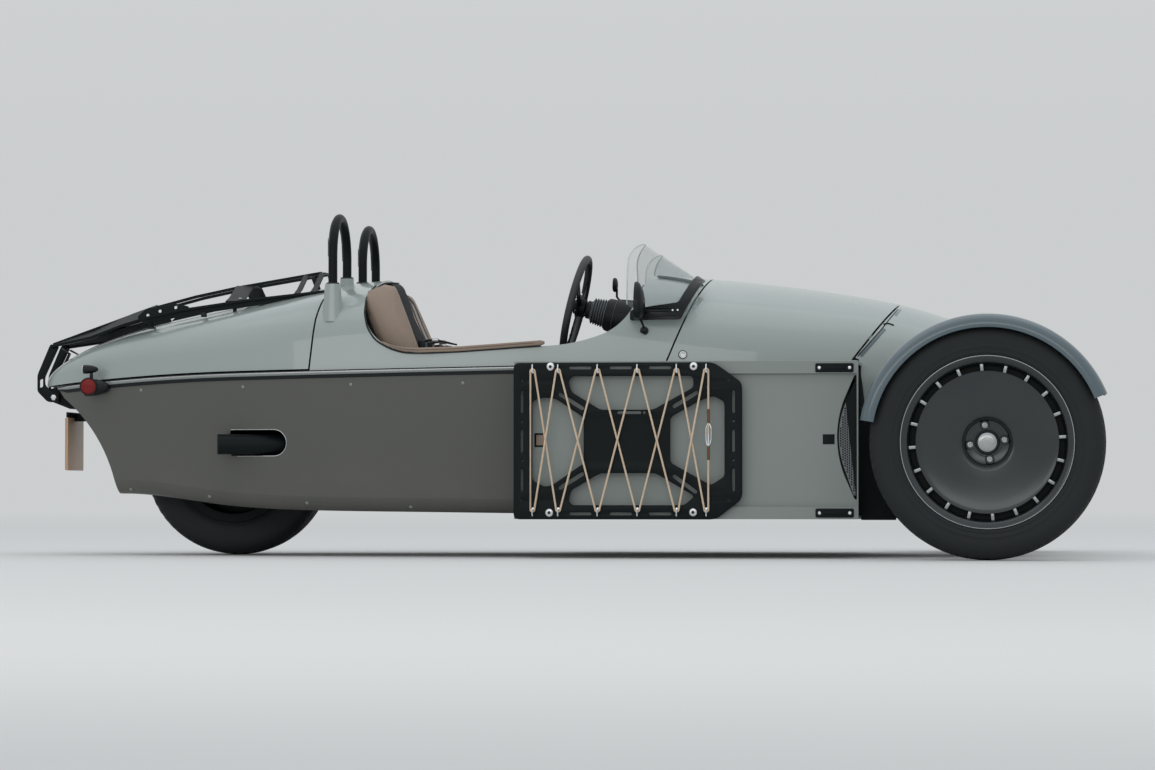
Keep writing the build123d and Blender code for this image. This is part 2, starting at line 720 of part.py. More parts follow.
def rear_rim():
    """The rear wheel's barrel, disc and hub."""
    seat = REAR_BEAD_HALF + BEAD_FIT
    lip = seat + (REAR_RIM_R - REAR_BEAD_R) * 10 / (214 - REAR_BEAD_R)
    rim = turned([
        (REAR_BEAD_R, -seat), (REAR_RIM_R, -lip), (REAR_RIM_R, -lip - 5), (REAR_BARREL_R - 6, -lip - 5),
        (REAR_BARREL_R - 6, lip + 5), (REAR_RIM_R, lip + 5), (REAR_RIM_R, lip), (REAR_BEAD_R, seat),
    ], -WHEELBASE, REAR_TYRE_R)
    rim += turned([(14 + BORE_FIT, -40), (55, -40), (60, -14), (180, -14), (180, -4), (60, -4),
                   (55, 40), (14 + BORE_FIT, 40)], -WHEELBASE, REAR_TYRE_R)
    return rim


def swingarm():
    """The rear fork, from its pivot behind the seats to the rear axle."""
    arm = rod((-WHEELBASE, -140, REAR_TYRE_R), (-WHEELBASE, 140, REAR_TYRE_R), 14)
    for side in (-1, 1):
        start, end = (118, 140) if side > 0 else (-140, -118)
        face = outline((-WHEELBASE - 34, REAR_TYRE_R - 34), (-2215, 250), (-2215, 310), (-WHEELBASE - 34, REAR_TYRE_R + 34))
        arm += slab(face, start, end)
    arm += block(-2230, SEAT_WALL_X, -140, 140, 250, 310)
    return arm


def intake_shape(inset=0.0):
    """The lens-shaped mouth in the pod's face, smaller all round by the inset."""
    front, deep = INTAKE_FRONT_X - inset, INTAKE_DEEP_X + inset
    low, high = INTAKE_LOW_Z + 3 * inset, INTAKE_TOP_Z - 3 * inset
    middle, belly = (low + high) / 2, (high - low) * 0.31
    return outline((front, low), (front, high), (front - 7, high), (deep + INTAKE_SHOULDER, middle + belly),
                   (deep, middle, deep + INTAKE_SHOULDER, middle - belly), (front - 7, low))


def side_pod():
    """One hollow side pod: a recessed outer plate with a lens-shaped mouth, and flanges in to the body."""
    face_in = POD_FACE_Y - POD_PLATE
    pod = block(POD_REAR_X, POD_FRONT_X, face_in, POD_FACE_Y, POD_LOW_Z, POD_TOP_Z)
    pod -= block(POD_REAR_X + 2 * POD_LIP, POD_FRONT_X - POD_LIP, POD_FACE_Y - POD_RECESS, POD_FACE_Y + 1,
                 POD_LOW_Z + POD_FLANGE, POD_TOP_Z - POD_FLANGE)
    pod -= slab(intake_shape(), face_in - 1, POD_FACE_Y)
    for low, high in [(POD_LOW_Z, POD_LOW_Z + 10), (POD_TOP_Z - 10, POD_TOP_Z)]:
        pod += block(POD_REAR_X, POD_FRONT_X, 300, face_in, low, high)
    pod += block(POD_REAR_X, POD_REAR_X + 10, 300, face_in, POD_LOW_Z, POD_TOP_Z)
    for x in (-1160, -800):
        pod += block(x, x + 8, 300, face_in, POD_LOW_Z, POD_TOP_Z)
    keep = (TUB_OUTER & block(-3400, TUB_FRONT_X, -BIG, BIG, 0, 900))
    pod -= keep
    pod -= UPPER_OUTER
    return pod


def intake_mesh():
    """The grille in the pod's mouth, and the dark duct plate that leads air in behind the wheel."""
    back = POD_FACE_Y - POD_PLATE + 2
    front = back + INTAKE_THICK
    mouth = slab(intake_shape(BORE_FIT), back, front)
    grille = mouth - slab(intake_shape(BORE_FIT + INTAKE_BAR), back - 1, front + 1)
    bars = int((INTAKE_TOP_Z - INTAKE_LOW_Z) / INTAKE_PITCH)
    for k in range(1, bars):
        z = INTAKE_LOW_Z + k * INTAKE_PITCH
        grille += mouth & block(INTAKE_DEEP_X, INTAKE_FRONT_X, back, front, z, z + INTAKE_BAR)
    duct = slab(outline((DUCT_REAR_X, POD_LOW_Z + 10), (POD_FRONT_X, POD_LOW_Z + 10), (POD_FRONT_X, POD_LOW_Z - 4),
                        (DUCT_FRONT_X, POD_LOW_Z - 4), (DUCT_FRONT_X, 470), (POD_FRONT_X, 470),
                        (POD_FRONT_X, POD_TOP_Z - 10), (DUCT_REAR_X, POD_TOP_Z - 10)), DUCT_Y, DUCT_Y + DUCT_WALL)
    return grille + duct


CARRIER_CORNER = 20.0
WINDOW_CORNER = 12.0
CARRIER_WINDOWS = [
    [(-1354, 588), (-1333, 562), (-1250, 480), (-1072, 480), (-941, 552), (-944, 588)],
    [(-1354, 172), (-1262, 271), (-1064, 275), (-939, 201), (-972, 172)],
    [(-1465, 510), (-1424, 520), (-1388, 515), (-1298, 455), (-1298, 307), (-1398, 238), (-1424, 231), (-1465, 252)],
    [(-1017, 455), (-922, 508), (-878, 524), (-842, 504), (-842, 265), (-886, 236), (-1017, 309)],
]
# Strap slots. Columns: station, height, length, width, turn in degrees.
CARRIER_SLOTS = [
    *[(x, z, 72, 9, 0) for z in (612, 148) for x in (-1309, -1178, -1050)],
    *[(x, z, 72, 9, 90) for x in (-1499, -813) for z in (505, 379, 253)],
    (-1338, 521, 92, 12, -36), (-1343, 236, 92, 12, 42), (-968, 516, 92, 12, 33), (-970, 238, 92, 12, -37),
]


def side_carrier():
    """The flat rack plate on the pod: a frame, four slotted arms and a centre plate."""
    rear, front, low, high = CARRIER_REAR_X, CARRIER_FRONT_X, CARRIER_LOW_Z, CARRIER_TOP_Z
    side = rounded([(rear, low), (-870, low), (front, 192), (front, 566), (-876, high), (rear, high)], CARRIER_CORNER)
    plate = slab(side, CARRIER_FACE_Y - CARRIER_THICK, CARRIER_FACE_Y)
    for corners in CARRIER_WINDOWS:
        plate -= slab(rounded(corners, WINDOW_CORNER), CARRIER_FACE_Y - 20, CARRIER_FACE_Y + 20)
    for x, z, length, width, turn in CARRIER_SLOTS:
        plate -= slab(slot(x, z, length, width, turn), CARRIER_FACE_Y - 20, CARRIER_FACE_Y + 20)
    for x, z in CARRIER_BOLTS:
        plate += rod((x, POD_FACE_Y, z), (x, CARRIER_FACE_Y - CARRIER_THICK, z), 11)
        plate += rod((x, CARRIER_FACE_Y, z), (x, CARRIER_FACE_Y + 9, z), 13.5)
    for row in (HOOK_TOP_Z, HOOK_LOW_Z):
        for x in HOOK_X:
            plate += rod((x, CARRIER_FACE_Y, row), (x, CARRIER_FACE_Y + 16, row), HOOK_R)
    return plate


CARRIER_BOLTS = [(-1409, 618), (-1409, 144), (-943, 618), (-943, 144)]
HOOK_X = [-1463.0, -1382.0, -1254.0, -1125.0, -998.0, -902.0]
HOOK_TOP_Z = 621.0
HOOK_LOW_Z = 142.0


def cord_lacing():
    """The elastic cord laced over the carrier, in two layers that cross."""
    runs = [(0, 0, 0, -CORD_STEP), (5, 5, 0, CORD_STEP)]
    for k in range(5):
        runs.append((k, k + 1, 0, 0))
        runs.append((k + 1, k, 1, 0))
    lacing = []
    for top, bottom, layer, aside in runs:
        y = CARRIER_FACE_Y + 4 + layer * CORD_STEP
        high = (HOOK_X[top] + aside, y, HOOK_TOP_Z)
        low = (HOOK_X[bottom] + aside, y, HOOK_LOW_Z)
        run = rod(high, low, CORD_R)
        for x, row in ((HOOK_X[top], HOOK_TOP_Z), (HOOK_X[bottom], HOOK_LOW_Z)):
            run -= rod((x, y - 20, row), (x, y + 20, row), HOOK_R)
        lacing.extend(run.solids())
    return Compound(lacing)


def roll_hoop():
    """One roll hoop behind a seat, from the wall behind the seats up."""
    bend = HOOP_SPAN / 2
    top = HOOP_TOP_Z - HOOP_R - bend
    low = SEAT_WALL_TOP
    hoop = rod((HOOP_X, SEAT_Y - bend, low), (HOOP_X, SEAT_Y - bend, top), HOOP_R)
    hoop += rod((HOOP_X, SEAT_Y + bend, low), (HOOP_X, SEAT_Y + bend, top), HOOP_R)
    ring = Pos(HOOP_X, SEAT_Y, top) * Rot(90, 0, 90) * Rot(90, 0, 0) * Torus(bend, HOOP_R)
    return hoop + (ring & block(HOOP_X - 50, HOOP_X + 50, 0, 600, top, top + 300))


def seat():
    """Cushion and back of one seat as a plain closed solid on two rails."""
    low = FLOOR_Z + SEAT_RAIL_H
    face = outline(
        (-1380, low), (-1960, low), (-2120, 560), (-2106, 780), (-2034, 862), (-2026, 893, -1985, 850),
        (-1890, 640), (-1850, 420), (-1800, 330, -1720, 320), (-1420, 350), (-1380, 340, -1372, 300),
    )
    pad = slab(face, SEAT_MID_Y - SEAT_HALF, SEAT_MID_Y + SEAT_HALF)
    for y in (SEAT_MID_Y - 140, SEAT_MID_Y + 110):
        pad += block(-1900, -1420, y, y + 30, FLOOR_Z, low)
    return pad


def coaming():
    """The padded roll on the cockpit's side edge, from the seat forward."""
    lift = COAMING_R + 0.2
    points = [(-1852, 511, 670 + lift), (-1734, 514, 673 + lift), (-1442, 516, 693 + lift)]
    roll = rod(points[0], points[1], COAMING_R) + rod(points[1], points[2], COAMING_R)
    return roll + Pos(*points[1]) * Sphere(COAMING_R)


DASH = [(-1175, 640), (-1150, 640), (-1120, 905), (-1145, 905)]


def dashboard():
    """The panel under the scuttle, set back from the cockpit's front edge."""
    return UPPER_INNER & slab(outline(DASH[0], *DASH[1:]), -BIG, BIG)


def ahead_of_dash():
    """All the space ahead of the dashboard's rear face."""
    top, low = DASH[3], DASH[0]
    lean = (top[0] - low[0]) / (top[1] - low[1])
    return slab(outline((low[0] - 400 * lean, 240), (0, 240), (0, 1105), (top[0] + 200 * lean, 1105)), -BIG, BIG)


def steering_frame():
    """The wheel's plane: z_dir points forward and down along the column."""
    tilt = math.radians(WHEEL_TILT)
    forward = Vector(math.cos(tilt), 0, -math.sin(tilt))
    return Plane(origin=(WHEEL_X, -SEAT_Y, WHEEL_Z), x_dir=(0, 1, 0), z_dir=forward)


def steering_wheel():
    plane = steering_frame()
    wheel = plane * Torus(WHEEL_RIM_R, WHEEL_GRIP_R)
    wheel += plane * Pos(0, 0, 20) * Cylinder(30, 26)
    for turn in (0, 120, 240):
        spoke = Rot(0, 0, turn + 90) * Pos(WHEEL_RIM_R / 2, 0, 8) * Box(WHEEL_RIM_R - 6, 26, 5)
        wheel += plane * spoke
    wheel += plane * Pos(0, 0, 8) * Cylinder(34, 8)
    wheel += plane * Pos(0, 0, 42) * Cylinder(SHAFT_R, 20)
    return wheel


def steering_column():
    """Ribbed boot and cowl from the dashboard towards the wheel."""
    plane = steering_frame()
    column = plane * Pos(0, 0, 46) * Cylinder(30, 20)
    column += plane * Pos(0, 0, 82) * Cylinder(BOOT_R - 7, 60)
    for k in range(BOOT_RIBS):
        column += plane * Pos(0, 0, 60 + k * BOOT_PITCH) * Cylinder(BOOT_R + k, BOOT_PITCH / 2)
    column += plane * Pos(0, 0, 170) * Cone(54, 66, 130)
    column -= plane * Pos(0, 0, 44) * Cylinder(SHAFT_R + BORE_FIT, 24)
    return column - ahead_of_dash()


def screen_shell(radius, wall, length, start):
    """A raked half tube: its crest runs back and up from the bonnet's rear edge."""
    rake = math.radians(34)
    direction = Vector(-math.cos(rake), 0, math.sin(rake))
    crest = Vector(-975, SCREEN_Y, 930)
    plane = Plane(origin=crest + direction * start, x_dir=(0, 1, 0), z_dir=direction)
    down = plane.y_dir
    sign = 1 if down.Z < 0 else -1
    ring = Pos(0, sign * radius) * (Circle(radius) - Circle(radius - wall))
    return extrude(plane * ring, amount=length)


def flyscreen():
    """One clear wraparound screen."""
    glass = screen_shell(SCREEN_R, SCREEN_WALL, 320, -140)
    cap = outline((-1172, 700), (-940, 700), (-940, 940), (-1100, 1034), (-1128, 1040, -1150, 1020), (-1178, 975))
    return (glass & slab(cap, 0, BIG)) - UPPER_GROWN


SCREEN_VENT = (-1072.0, 808.0, 92.0, 9.0)


def screen_frame():
    """The dark foot of the screen, which hugs the scuttle, with a vent slot in its side."""
    band = screen_shell(SCREEN_R + 4, SCREEN_WALL + 8, 360, -180)
    foot = (band & slab(outline((-1172, 781), (-945, 781), (-945, 1000), (-1172, 1000)), 0, BIG)) & UPPER_GROWN
    foot -= slab(slot(*SCREEN_VENT), SCREEN_Y, BIG)
    foot -= UPPER_OUTER
    return foot


def side_mirror():
    """A round bullet mirror on a short stalk with a ball at its root."""
    centre = Vector(-1122, 562, 842)
    dome = Pos(*centre) * scale(Sphere(1), by=(42, 58, 58))
    head = dome & block(-1122, -1060, 400, 700, 700, 1000)
    stalk = rod((-1112, 548, 800), (-1119, 504, 742), 4)
    ball = Pos(-1119, 501, 742) * Sphere(10)
    return (head + stalk + ball) - UPPER_OUTER


def centre_mirror():
    """The small mirror on its stalk above the dashboard."""
    head = rod((-1275, 0, 919), (-1260, 0, 919), 24)
    stalk = rod((-1267, 0, 896), (-1267, 0, 872), 4) + rod((-1267, 0, 872), (-1140, 0, 862), 4)
    return (head + stalk) - ahead_of_dash()


def tail_lamp():
    """Lamp, its teardrop shell and the small indicator above it."""
    y = 246
    shell = turned_x([(0, -3052), (30, -3052), (30, -3040), (24, -3000, 2, -2962), (0, -2962)], y, 569)
    arm = rod((-3030, y - 60, 553), (-3030, y, 553), 8)
    indicator = turned_x([(0, -3056), (15, -3056), (14, -3030, 2, -3001), (0, -3001)], y + 6, 630)
    post = rod((-3030, y + 4, 575), (-3030, y + 4, 626), 5)
    return (shell + arm + indicator + post) - TUB_OUTER - UPPER_OUTER - waist_strips()


def turned_x(points, y, z):
    """A solid of revolution about a line along X. Points are (radius, station)."""
    edges = []
    here = Vector(points[0][1], y + points[0][0], z)
    for point in list(points[1:]) + [points[0]]:
        there = Vector(point[-1], y + point[-2], z)
        if len(point) == 4:
            edges.append(Edge.make_three_point_arc(here, Vector(point[1], y + point[0], z), there))
        elif (there - here).length > 1e-6:
            edges.append(Edge.make_line(here, there))
        here = there
    return revolve(Face(Wire(edges)), axis=Axis((0, y, z), (1, 0, 0)))


def stern():
    """The tub's outside with its hollow stern, filled."""
    return TUB_OUTER - stern_cut(0.0)


def plate_holder():
    """The blank number plate under the stern, on its bracket."""
    plate = block(-3152, -3148, -114, 114, 290, 468)
    holder = block(-3148, -3144, -114, 114, 290, 485)
    bracket = block(-3148, -3040, -20, 20, 455, 485)
    return (plate + holder + bracket) - stern()


LID_PIVOT = (-3200.0, 540.0)
PIN_R = 8.0


def tail_hinge():
    """The bracket on the stern that carries the lid's pivot."""
    face = outline((-3222, 528), (-3150, 500), (-3120, 500), (-3120, 560), (-3222, 560))
    bracket = slab(face, -60, 60) - stern() - above_rim(-20.0)
    x, z = LID_PIVOT
    return bracket - rod((x, -100, z), (x, 100, z), PIN_R + BORE_FIT)


# The rack's side rail and its spine. Columns: station, Y, height of the top, width.
RAIL_ROWS = [
    (-3208, 84, 720, 22),
    (-3051, 150, 741, 24),
    (-2930, 206, 774, 26),
    (-2826, 244, 802, 30),
    (-2722, 250, 828, 24),
    (-2482, 250, 866, 22),
    (-2225, 250, 900, 22),
]
SPINE_ROWS = [
    (-3208, 52, 728, 22),
    (-2972, 58, 815, 22),
    (-2831, 58, 877, 22),
    (-2708, 58, 907, 22),
    (-2498, 58, 944, 22),
    (-2271, 58, 968, 22),
]
RACK_PLATE = 9.0
# Cross plates. Columns: rear and front edge of the plate.
RACK_CROSS = [(-3196.0, -3170.0), (-2566.0, -2504.0), (-2332.0, -2312.0), (-2278.0, -2258.0)]
RACK_FEET = (-2826.0, -2535.0, -2320.0)
RACK_FOOT_R = 7.0


def row_at(rows, station):
    """Y and height of a rail at a station, between the rows of its table."""
    for (x0, y0, z0, _), (x1, y1, z1, _) in zip(rows, rows[1:]):
        if station <= x1:
            share = (station - x0) / (x1 - x0)
            return y0 + (y1 - y0) * share, z0 + (z1 - z0) * share
    return rows[-1][1], rows[-1][2]


def rear_rack():
    """The luggage rack on the tail lid: rails, spine, cross plates, feet and hinge legs."""
    rails = Part()
    for rows in (RAIL_ROWS, SPINE_ROWS):
        rails += strip([(x, y - w / 2, z, y + w / 2, z) for x, y, z, w in rows], RACK_PLATE)
    # The long plate that folds down from the spine to the rail at the rear
    deck = []
    for x in (-3208, -3051, -2930, -2845):
        y_in, z_in = row_at(SPINE_ROWS, x)
        y_out, z_out = row_at(RAIL_ROWS, x)
        deck.append((x, y_in, z_in - 2, y_out, z_out - 2))
    rails += strip(deck, 5)
    for low, high in RACK_CROSS:
        middle = (low + high) / 2
        y_in, z_in = row_at(SPINE_ROWS, middle)
        y_out, z_out = row_at(RAIL_ROWS, middle)
        half = [(0, z_in - 2), (y_in, z_in - 2), (y_out, z_out - 2)]
        section = [(low, y, z) for y, z in half] + [(low, y, z - 6) for y, z in reversed(half)]
        rails += extrude(Face(Wire.make_polygon(section)), amount=high - low, dir=(1, 0, 0))
    for x in RACK_FEET:
        y, z = row_at(RAIL_ROWS, x)
        rails += rod((x, y, z - 4), (x, y, z - 90), RACK_FOOT_R) - UPPER_OUTER
    y, z = row_at(RAIL_ROWS, -2785)
    rails += slab(rounded([(-2850, z - 26), (-2700, z - 2), (-2690, z + 28), (-2740, z + 38), (-2838, z + 22), (-2872, z - 6)], 8),
                  y - 5, y + 5)
    leg = outline((-3212, 720), (-3260, 615), (-3260, 562), (-3222, 526), (-3186, 522), (-3184, 554),
                  (-3214, 562), (-3238, 582), (-3238, 610), (-3190, 714))
    rails += slab(leg, 70, 82)
    x, z = LID_PIVOT
    pin = rod((x, -82, z), (x, 82, z), PIN_R)
    return rails + mirrored(rails) + pin


def exhaust():
    """The tail pipe: out of its flank slot and back, open to the rear."""
    tail, knee, root = (Vector(x, y, PIPE_Z) for x, y in ((-2552, 438), (-2384, 394), (SEAT_WALL_X, 310)))
    pipe = rod(tail, knee, PIPE_R) + rod(knee, root, PIPE_R) + Pos(knee) * Sphere(PIPE_R)
    pipe -= rod(tail + (tail - knee) * 0.2, tail + (knee - tail) * 0.9, PIPE_R - PIPE_WALL)
    return pipe & block(-2700, SEAT_WALL_X, 200, 600, 300, 500)


def headlamp():
    """A round lamp beside the nose on a bracket from the frame."""
    y, z = 374, 640
    lamp = turned_x([(0, 122), (76, 122), (80, 106), (70, 10, 3, -30), (0, -30)], y, z)
    lamp += rod((50, y, z - 74), (50, PICKUP_Y - 4, FRAME_TOP_Z + 8), 8)
    lamp += block(40, 60, PICKUP_Y - 14, PICKUP_Y, FRAME_TOP_Z, FRAME_TOP_Z + 10)
    return lamp


def nose_grille():
    """Bars across the nose's mouth."""
    ring = (UPPER_INNER & block(140, 160, -BIG, BIG, NOSE_LOW_Z, 700))
    grille = ring - (UPPER_RIB & block(100, 180, -BIG, BIG, NOSE_LOW_Z + 10, 700))
    for k in range(7):
        z = NOSE_LOW_Z + 24 + k * 24
        grille += UPPER_INNER & block(144, 156, -BIG, BIG, z, z + 6)
    return grille


UPPER_GROWN = arch_body(22.0)


def main():
    whole = {
        "tub": tub,
        "cockpit_surround": cockpit_surround,
        "tail_lid": tail_lid,
        "bonnet": bonnet,
        "nose_cowl": nose_cowl,
        "nose_grille": nose_grille,
        "waist_strips": waist_strips,
        "luggage_floor": luggage_floor,
        "engine_block": engine_block,
        "front_frame": front_frame,
        "steering_rack": steering_rack,
        "tie_rods": tie_rods,
        "dashboard": dashboard,
        "centre_mirror": centre_mirror,
        "rear_rack": rear_rack,
        "tail_hinge": tail_hinge,
        "plate_holder": plate_holder,
        "swingarm": swingarm,
        "rim_rear": rear_rim,
        "tyre_rear": rear_tyre,
        "steering_wheel": steering_wheel,
        "steering_column": steering_column,
    }
    twins = {
        "intake_meshes": intake_mesh,
        "cord_lacings": cord_lacing,
        "roll_hoops": roll_hoop,
        "coamings": coaming,
        "flyscreens": flyscreen,
        "screen_frames": screen_frame,
        "side_mirrors": side_mirror,
        "tail_lamps": tail_lamp,
        "exhausts": exhaust,
        "headlamps": headlamp,
        "wishbones": wishbones,
        "coilovers": coilover,
    }
    pairs = {
        "side_pod": side_pod,
        "side_carrier": side_carrier,
        "seat": seat,
        "knuckle": knuckle,
        "mudguard": mudguard,
        "hub_front": front_hub,
        "rim_front": front_rim,
        "tyre_front": front_tyre,
    }
    place = Pos(AXLE_X, 0, 0)
    for name, make in whole.items():
        write(name, place * make())
    for name, make in twins.items():
        left = make()
        write(name, Compound([*(place * left).solids(), *(place * mirrored(left)).solids()]))
    for name, make in pairs.items():
        left = make()
        write(name + "_left", place * left)
        write(name + "_right", place * mirrored(left))


def write(name, shape):
    print(name, round(shape.volume / 1e6, 3), "litres", flush=True)
    export_step(shape, "parts/" + name + ".step")


main()
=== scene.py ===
# %% [markdown]
# # A three wheeled car, dressed over its solid model
# The solid model fixes every size and every joint. This notebook only adds what the eye
# reads: smooth panels, tyres with tread, sewn leather, laced cord, lamps and paint.
# We load the model first, because each piece we make later rides on one of its bodies.

# %% Load the fixed frame
import json
import math

import bpy
from mathutils import Matrix, Vector


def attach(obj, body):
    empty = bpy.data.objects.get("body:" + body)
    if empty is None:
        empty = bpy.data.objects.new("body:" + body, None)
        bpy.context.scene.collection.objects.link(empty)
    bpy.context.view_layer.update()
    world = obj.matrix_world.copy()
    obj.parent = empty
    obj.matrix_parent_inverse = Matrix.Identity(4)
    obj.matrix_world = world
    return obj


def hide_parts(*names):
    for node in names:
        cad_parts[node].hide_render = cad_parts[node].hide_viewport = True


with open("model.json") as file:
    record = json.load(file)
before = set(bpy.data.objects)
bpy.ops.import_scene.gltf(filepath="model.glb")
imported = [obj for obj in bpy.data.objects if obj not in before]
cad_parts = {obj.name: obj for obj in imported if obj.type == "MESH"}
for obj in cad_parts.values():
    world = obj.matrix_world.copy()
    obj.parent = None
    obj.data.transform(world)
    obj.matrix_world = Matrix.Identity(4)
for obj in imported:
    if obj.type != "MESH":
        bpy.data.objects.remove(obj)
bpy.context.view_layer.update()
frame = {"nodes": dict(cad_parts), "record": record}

# %% [markdown]
# The model's origin is on the ground under the middle of the car. Its drawings count
# stations from the front axle in millimetres, so one helper turns a station, an offset
# to the left and a height into a place in metres.

# %% Stations to places
AXLE = 1.442709
WHEELBASE = 2568.0
TRACK_HALF = 838.0
TYRE_R = 371.0
REAR_TYRE_R = 317.0


def at(x, y, z):
    return Vector((AXLE + x / 1000, y / 1000, z / 1000))


print("front axle at", tuple(round(v, 3) for v in at(0, 0, TYRE_R)))

# %% [markdown]
# The camera comes first. It stands about thirteen metres off, low over the ground, behind
# a long lens, which is why the far wheel hides almost exactly behind the near one.

# %% The camera
PHOTO_WIDTH = 1155
FOCAL_PIXELS = 3861.1
SENSOR = 36.0
eye = bpy.data.cameras.new("eye")
eye.sensor_width = SENSOR
eye.lens = FOCAL_PIXELS / PHOTO_WIDTH * SENSOR
eye.clip_end = 200.0
camera = bpy.data.objects.new("camera", eye)
camera.location = at(126.2, -13063.8, 220.9)
camera.rotation_euler = (math.radians(90 + 1.5577), 0, math.radians(6.6504))
bpy.context.scene.collection.objects.link(camera)
bpy.context.scene.camera = camera
print("lens", round(eye.lens, 2), "mm")

# %% [markdown]
# The studio is an overcast sky. A wide world, brighter overhead than at the horizon, does
# nearly all of the work, because that is how a soft day draws a car: tops are lighter than
# flanks and no highlight is hard. Two weak lamps only add a little shape. The levels are
# set so that a grey renders about as it is written.

# %% The sky and the lamps
scene = bpy.context.scene
scene.view_settings.view_transform = "Standard"
HORIZON = (0.60, 0.615, 0.62, 1.0)
OVERHEAD = (0.93, 0.96, 1.0, 1.0)


def link(thing):
    scene.collection.objects.link(thing)
    return thing


def soft_lamp(name, place, aim, size, power, tint=(1, 1, 1)):
    lamp = bpy.data.lights.new(name, "AREA")
    lamp.shape = "RECTANGLE"
    lamp.size, lamp.size_y = size
    lamp.energy = power
    lamp.color = tint
    holder = link(bpy.data.objects.new(name, lamp))
    holder.location = place
    holder.rotation_euler = (Vector(aim) - Vector(place)).to_track_quat("-Z", "Y").to_euler()
    return holder


soft_lamp("ceiling", (0.2, -0.6, 6.0), (0.0, 0.0, 0.4), (9.0, 5.0), 55)
soft_lamp("side_fill", (-1.0, -9.0, 2.9), (0.0, 0.0, 0.5), (10.0, 1.8), 85, (1.0, 0.98, 0.95))
world = bpy.data.worlds.new("overcast_air")
world.use_nodes = True
air = world.node_tree
toward = air.nodes.new("ShaderNodeTexCoord")
upward = air.nodes.new("ShaderNodeSeparateXYZ")
sky = air.nodes.new("ShaderNodeValToRGB")
sky.color_ramp.elements[0].position, sky.color_ramp.elements[0].color = 0.08, HORIZON
sky.color_ramp.elements[1].position, sky.color_ramp.elements[1].color = 0.95, OVERHEAD
air.links.new(toward.outputs["Generated"], upward.inputs[0])
air.links.new(upward.outputs["Z"], sky.inputs[0])
air.links.new(sky.outputs[0], air.nodes["Background"].inputs["Color"])
scene.world = world

# %% [markdown]
# Node trees get long when every sum is a node placed by hand. This small class wraps a
# socket, so that `1 - mask * 0.4` writes the Math nodes for us. Colours stay out of it,
# since a Math node would turn them grey; they go through Mix.

# %% Shader arithmetic
class Signal:
    """An output socket in a finish, on which plain arithmetic works."""

    def __init__(self, finish, socket):
        self.finish, self.socket = finish, socket

    def sum(self, operation, *values):
        return self.finish.node("Math", {"operation": operation}, dict(enumerate(values)))

    def __add__(self, other):
        return self.sum("ADD", self, other)

    def __radd__(self, other):
        return self.sum("ADD", other, self)

    def __sub__(self, other):
        return self.sum("SUBTRACT", self, other)

    def __rsub__(self, other):
        return self.sum("SUBTRACT", other, self)

    def __mul__(self, other):
        return self.sum("MULTIPLY", self, other)

    def __rmul__(self, other):
        return self.sum("MULTIPLY", other, self)

    def __truediv__(self, other):
        return self.sum("DIVIDE", self, other)

    def __pow__(self, other):
        return self.sum("POWER", self, other)


class Finish:
    """A material: constants on the shader's own sockets, changes fed in by nodes."""

    def __init__(self, name, color, **constants):
        self.material = bpy.data.materials.new(name)
        self.material.use_nodes = True
        self.tree = self.material.node_tree
        self.shader = self.tree.nodes["Principled BSDF"]
        self.color = (*color, 1.0)
        self.feed(self.shader.inputs["Base Color"], self.color)
        for words, value in constants.items():
            self.feed(self.shader.inputs[words.replace("_", " ").title().replace("Ior", "IOR")], value)

    def feed(self, socket, value):
        if isinstance(value, Signal):
            self.tree.links.new(value.socket, socket)
        else:
            socket.default_value = value

    def node(self, kind, settings=None, inputs=None, output=0):
        made = self.tree.nodes.new("ShaderNode" + kind)
        for key, value in (settings or {}).items():
            if key == "stops":
                ramp = made.color_ramp.elements
                ramp[0].position, ramp[0].color = value[0]
                ramp[1].position, ramp[1].color = value[-1]
                for place, tone in value[1:-1]:
                    ramp.new(place).color = tone
            else:
                setattr(made, key, value)
        for key, value in (inputs or {}).items():
            self.feed(made.inputs[key], value)
        return Signal(self, made.outputs[output])

    def place(self):
        """The point on the piece, in metres, which moves with it."""
        return self.node("TexCoord", output="Object")

    def noise(self, scale, detail=2.0, roughness=0.5, vector=None):
        return self.node("TexNoise", None, {"Vector": vector or self.place(), "Scale": scale,
                                            "Detail": detail, "Roughness": roughness})

    def axis(self, name, vector=None):
        return self.node("SeparateXYZ", None, {0: vector or self.place()}, output=name)

    def mix(self, factor, first, second):
        return self.node("Mix", {"data_type": "RGBA"}, {0: factor, 6: first, 7: second}, output=2)

    def smooth(self, value, low, high):
        return self.node("MapRange", {"interpolation_type": "SMOOTHSTEP"},
                         {"Value": value, "From Min": low, "From Max": high})

    def paint(self, value):
        self.feed(self.shader.inputs["Base Color"], value)

    def gloss(self, value):
        self.feed(self.shader.inputs["Roughness"], value)

    def relief(self, height, distance, strength=1.0):
        bump = self.node("Bump", None, {"Height": height, "Distance": distance, "Strength": strength})
        self.feed(self.shader.inputs["Normal"], bump)


def tone(color, factor):
    return (*(min(1.0, c * factor) for c in color[:3]), 1.0)


print("shader arithmetic ready")

# %% [markdown]
# The floor is one pale sheet. Near the car it is a plain matt surface that takes the car's
# shadow. Far away it fades into the sky's own colour, so that no line shows where the floor
# ends. A Mix Shader does that, by the distance from the car.

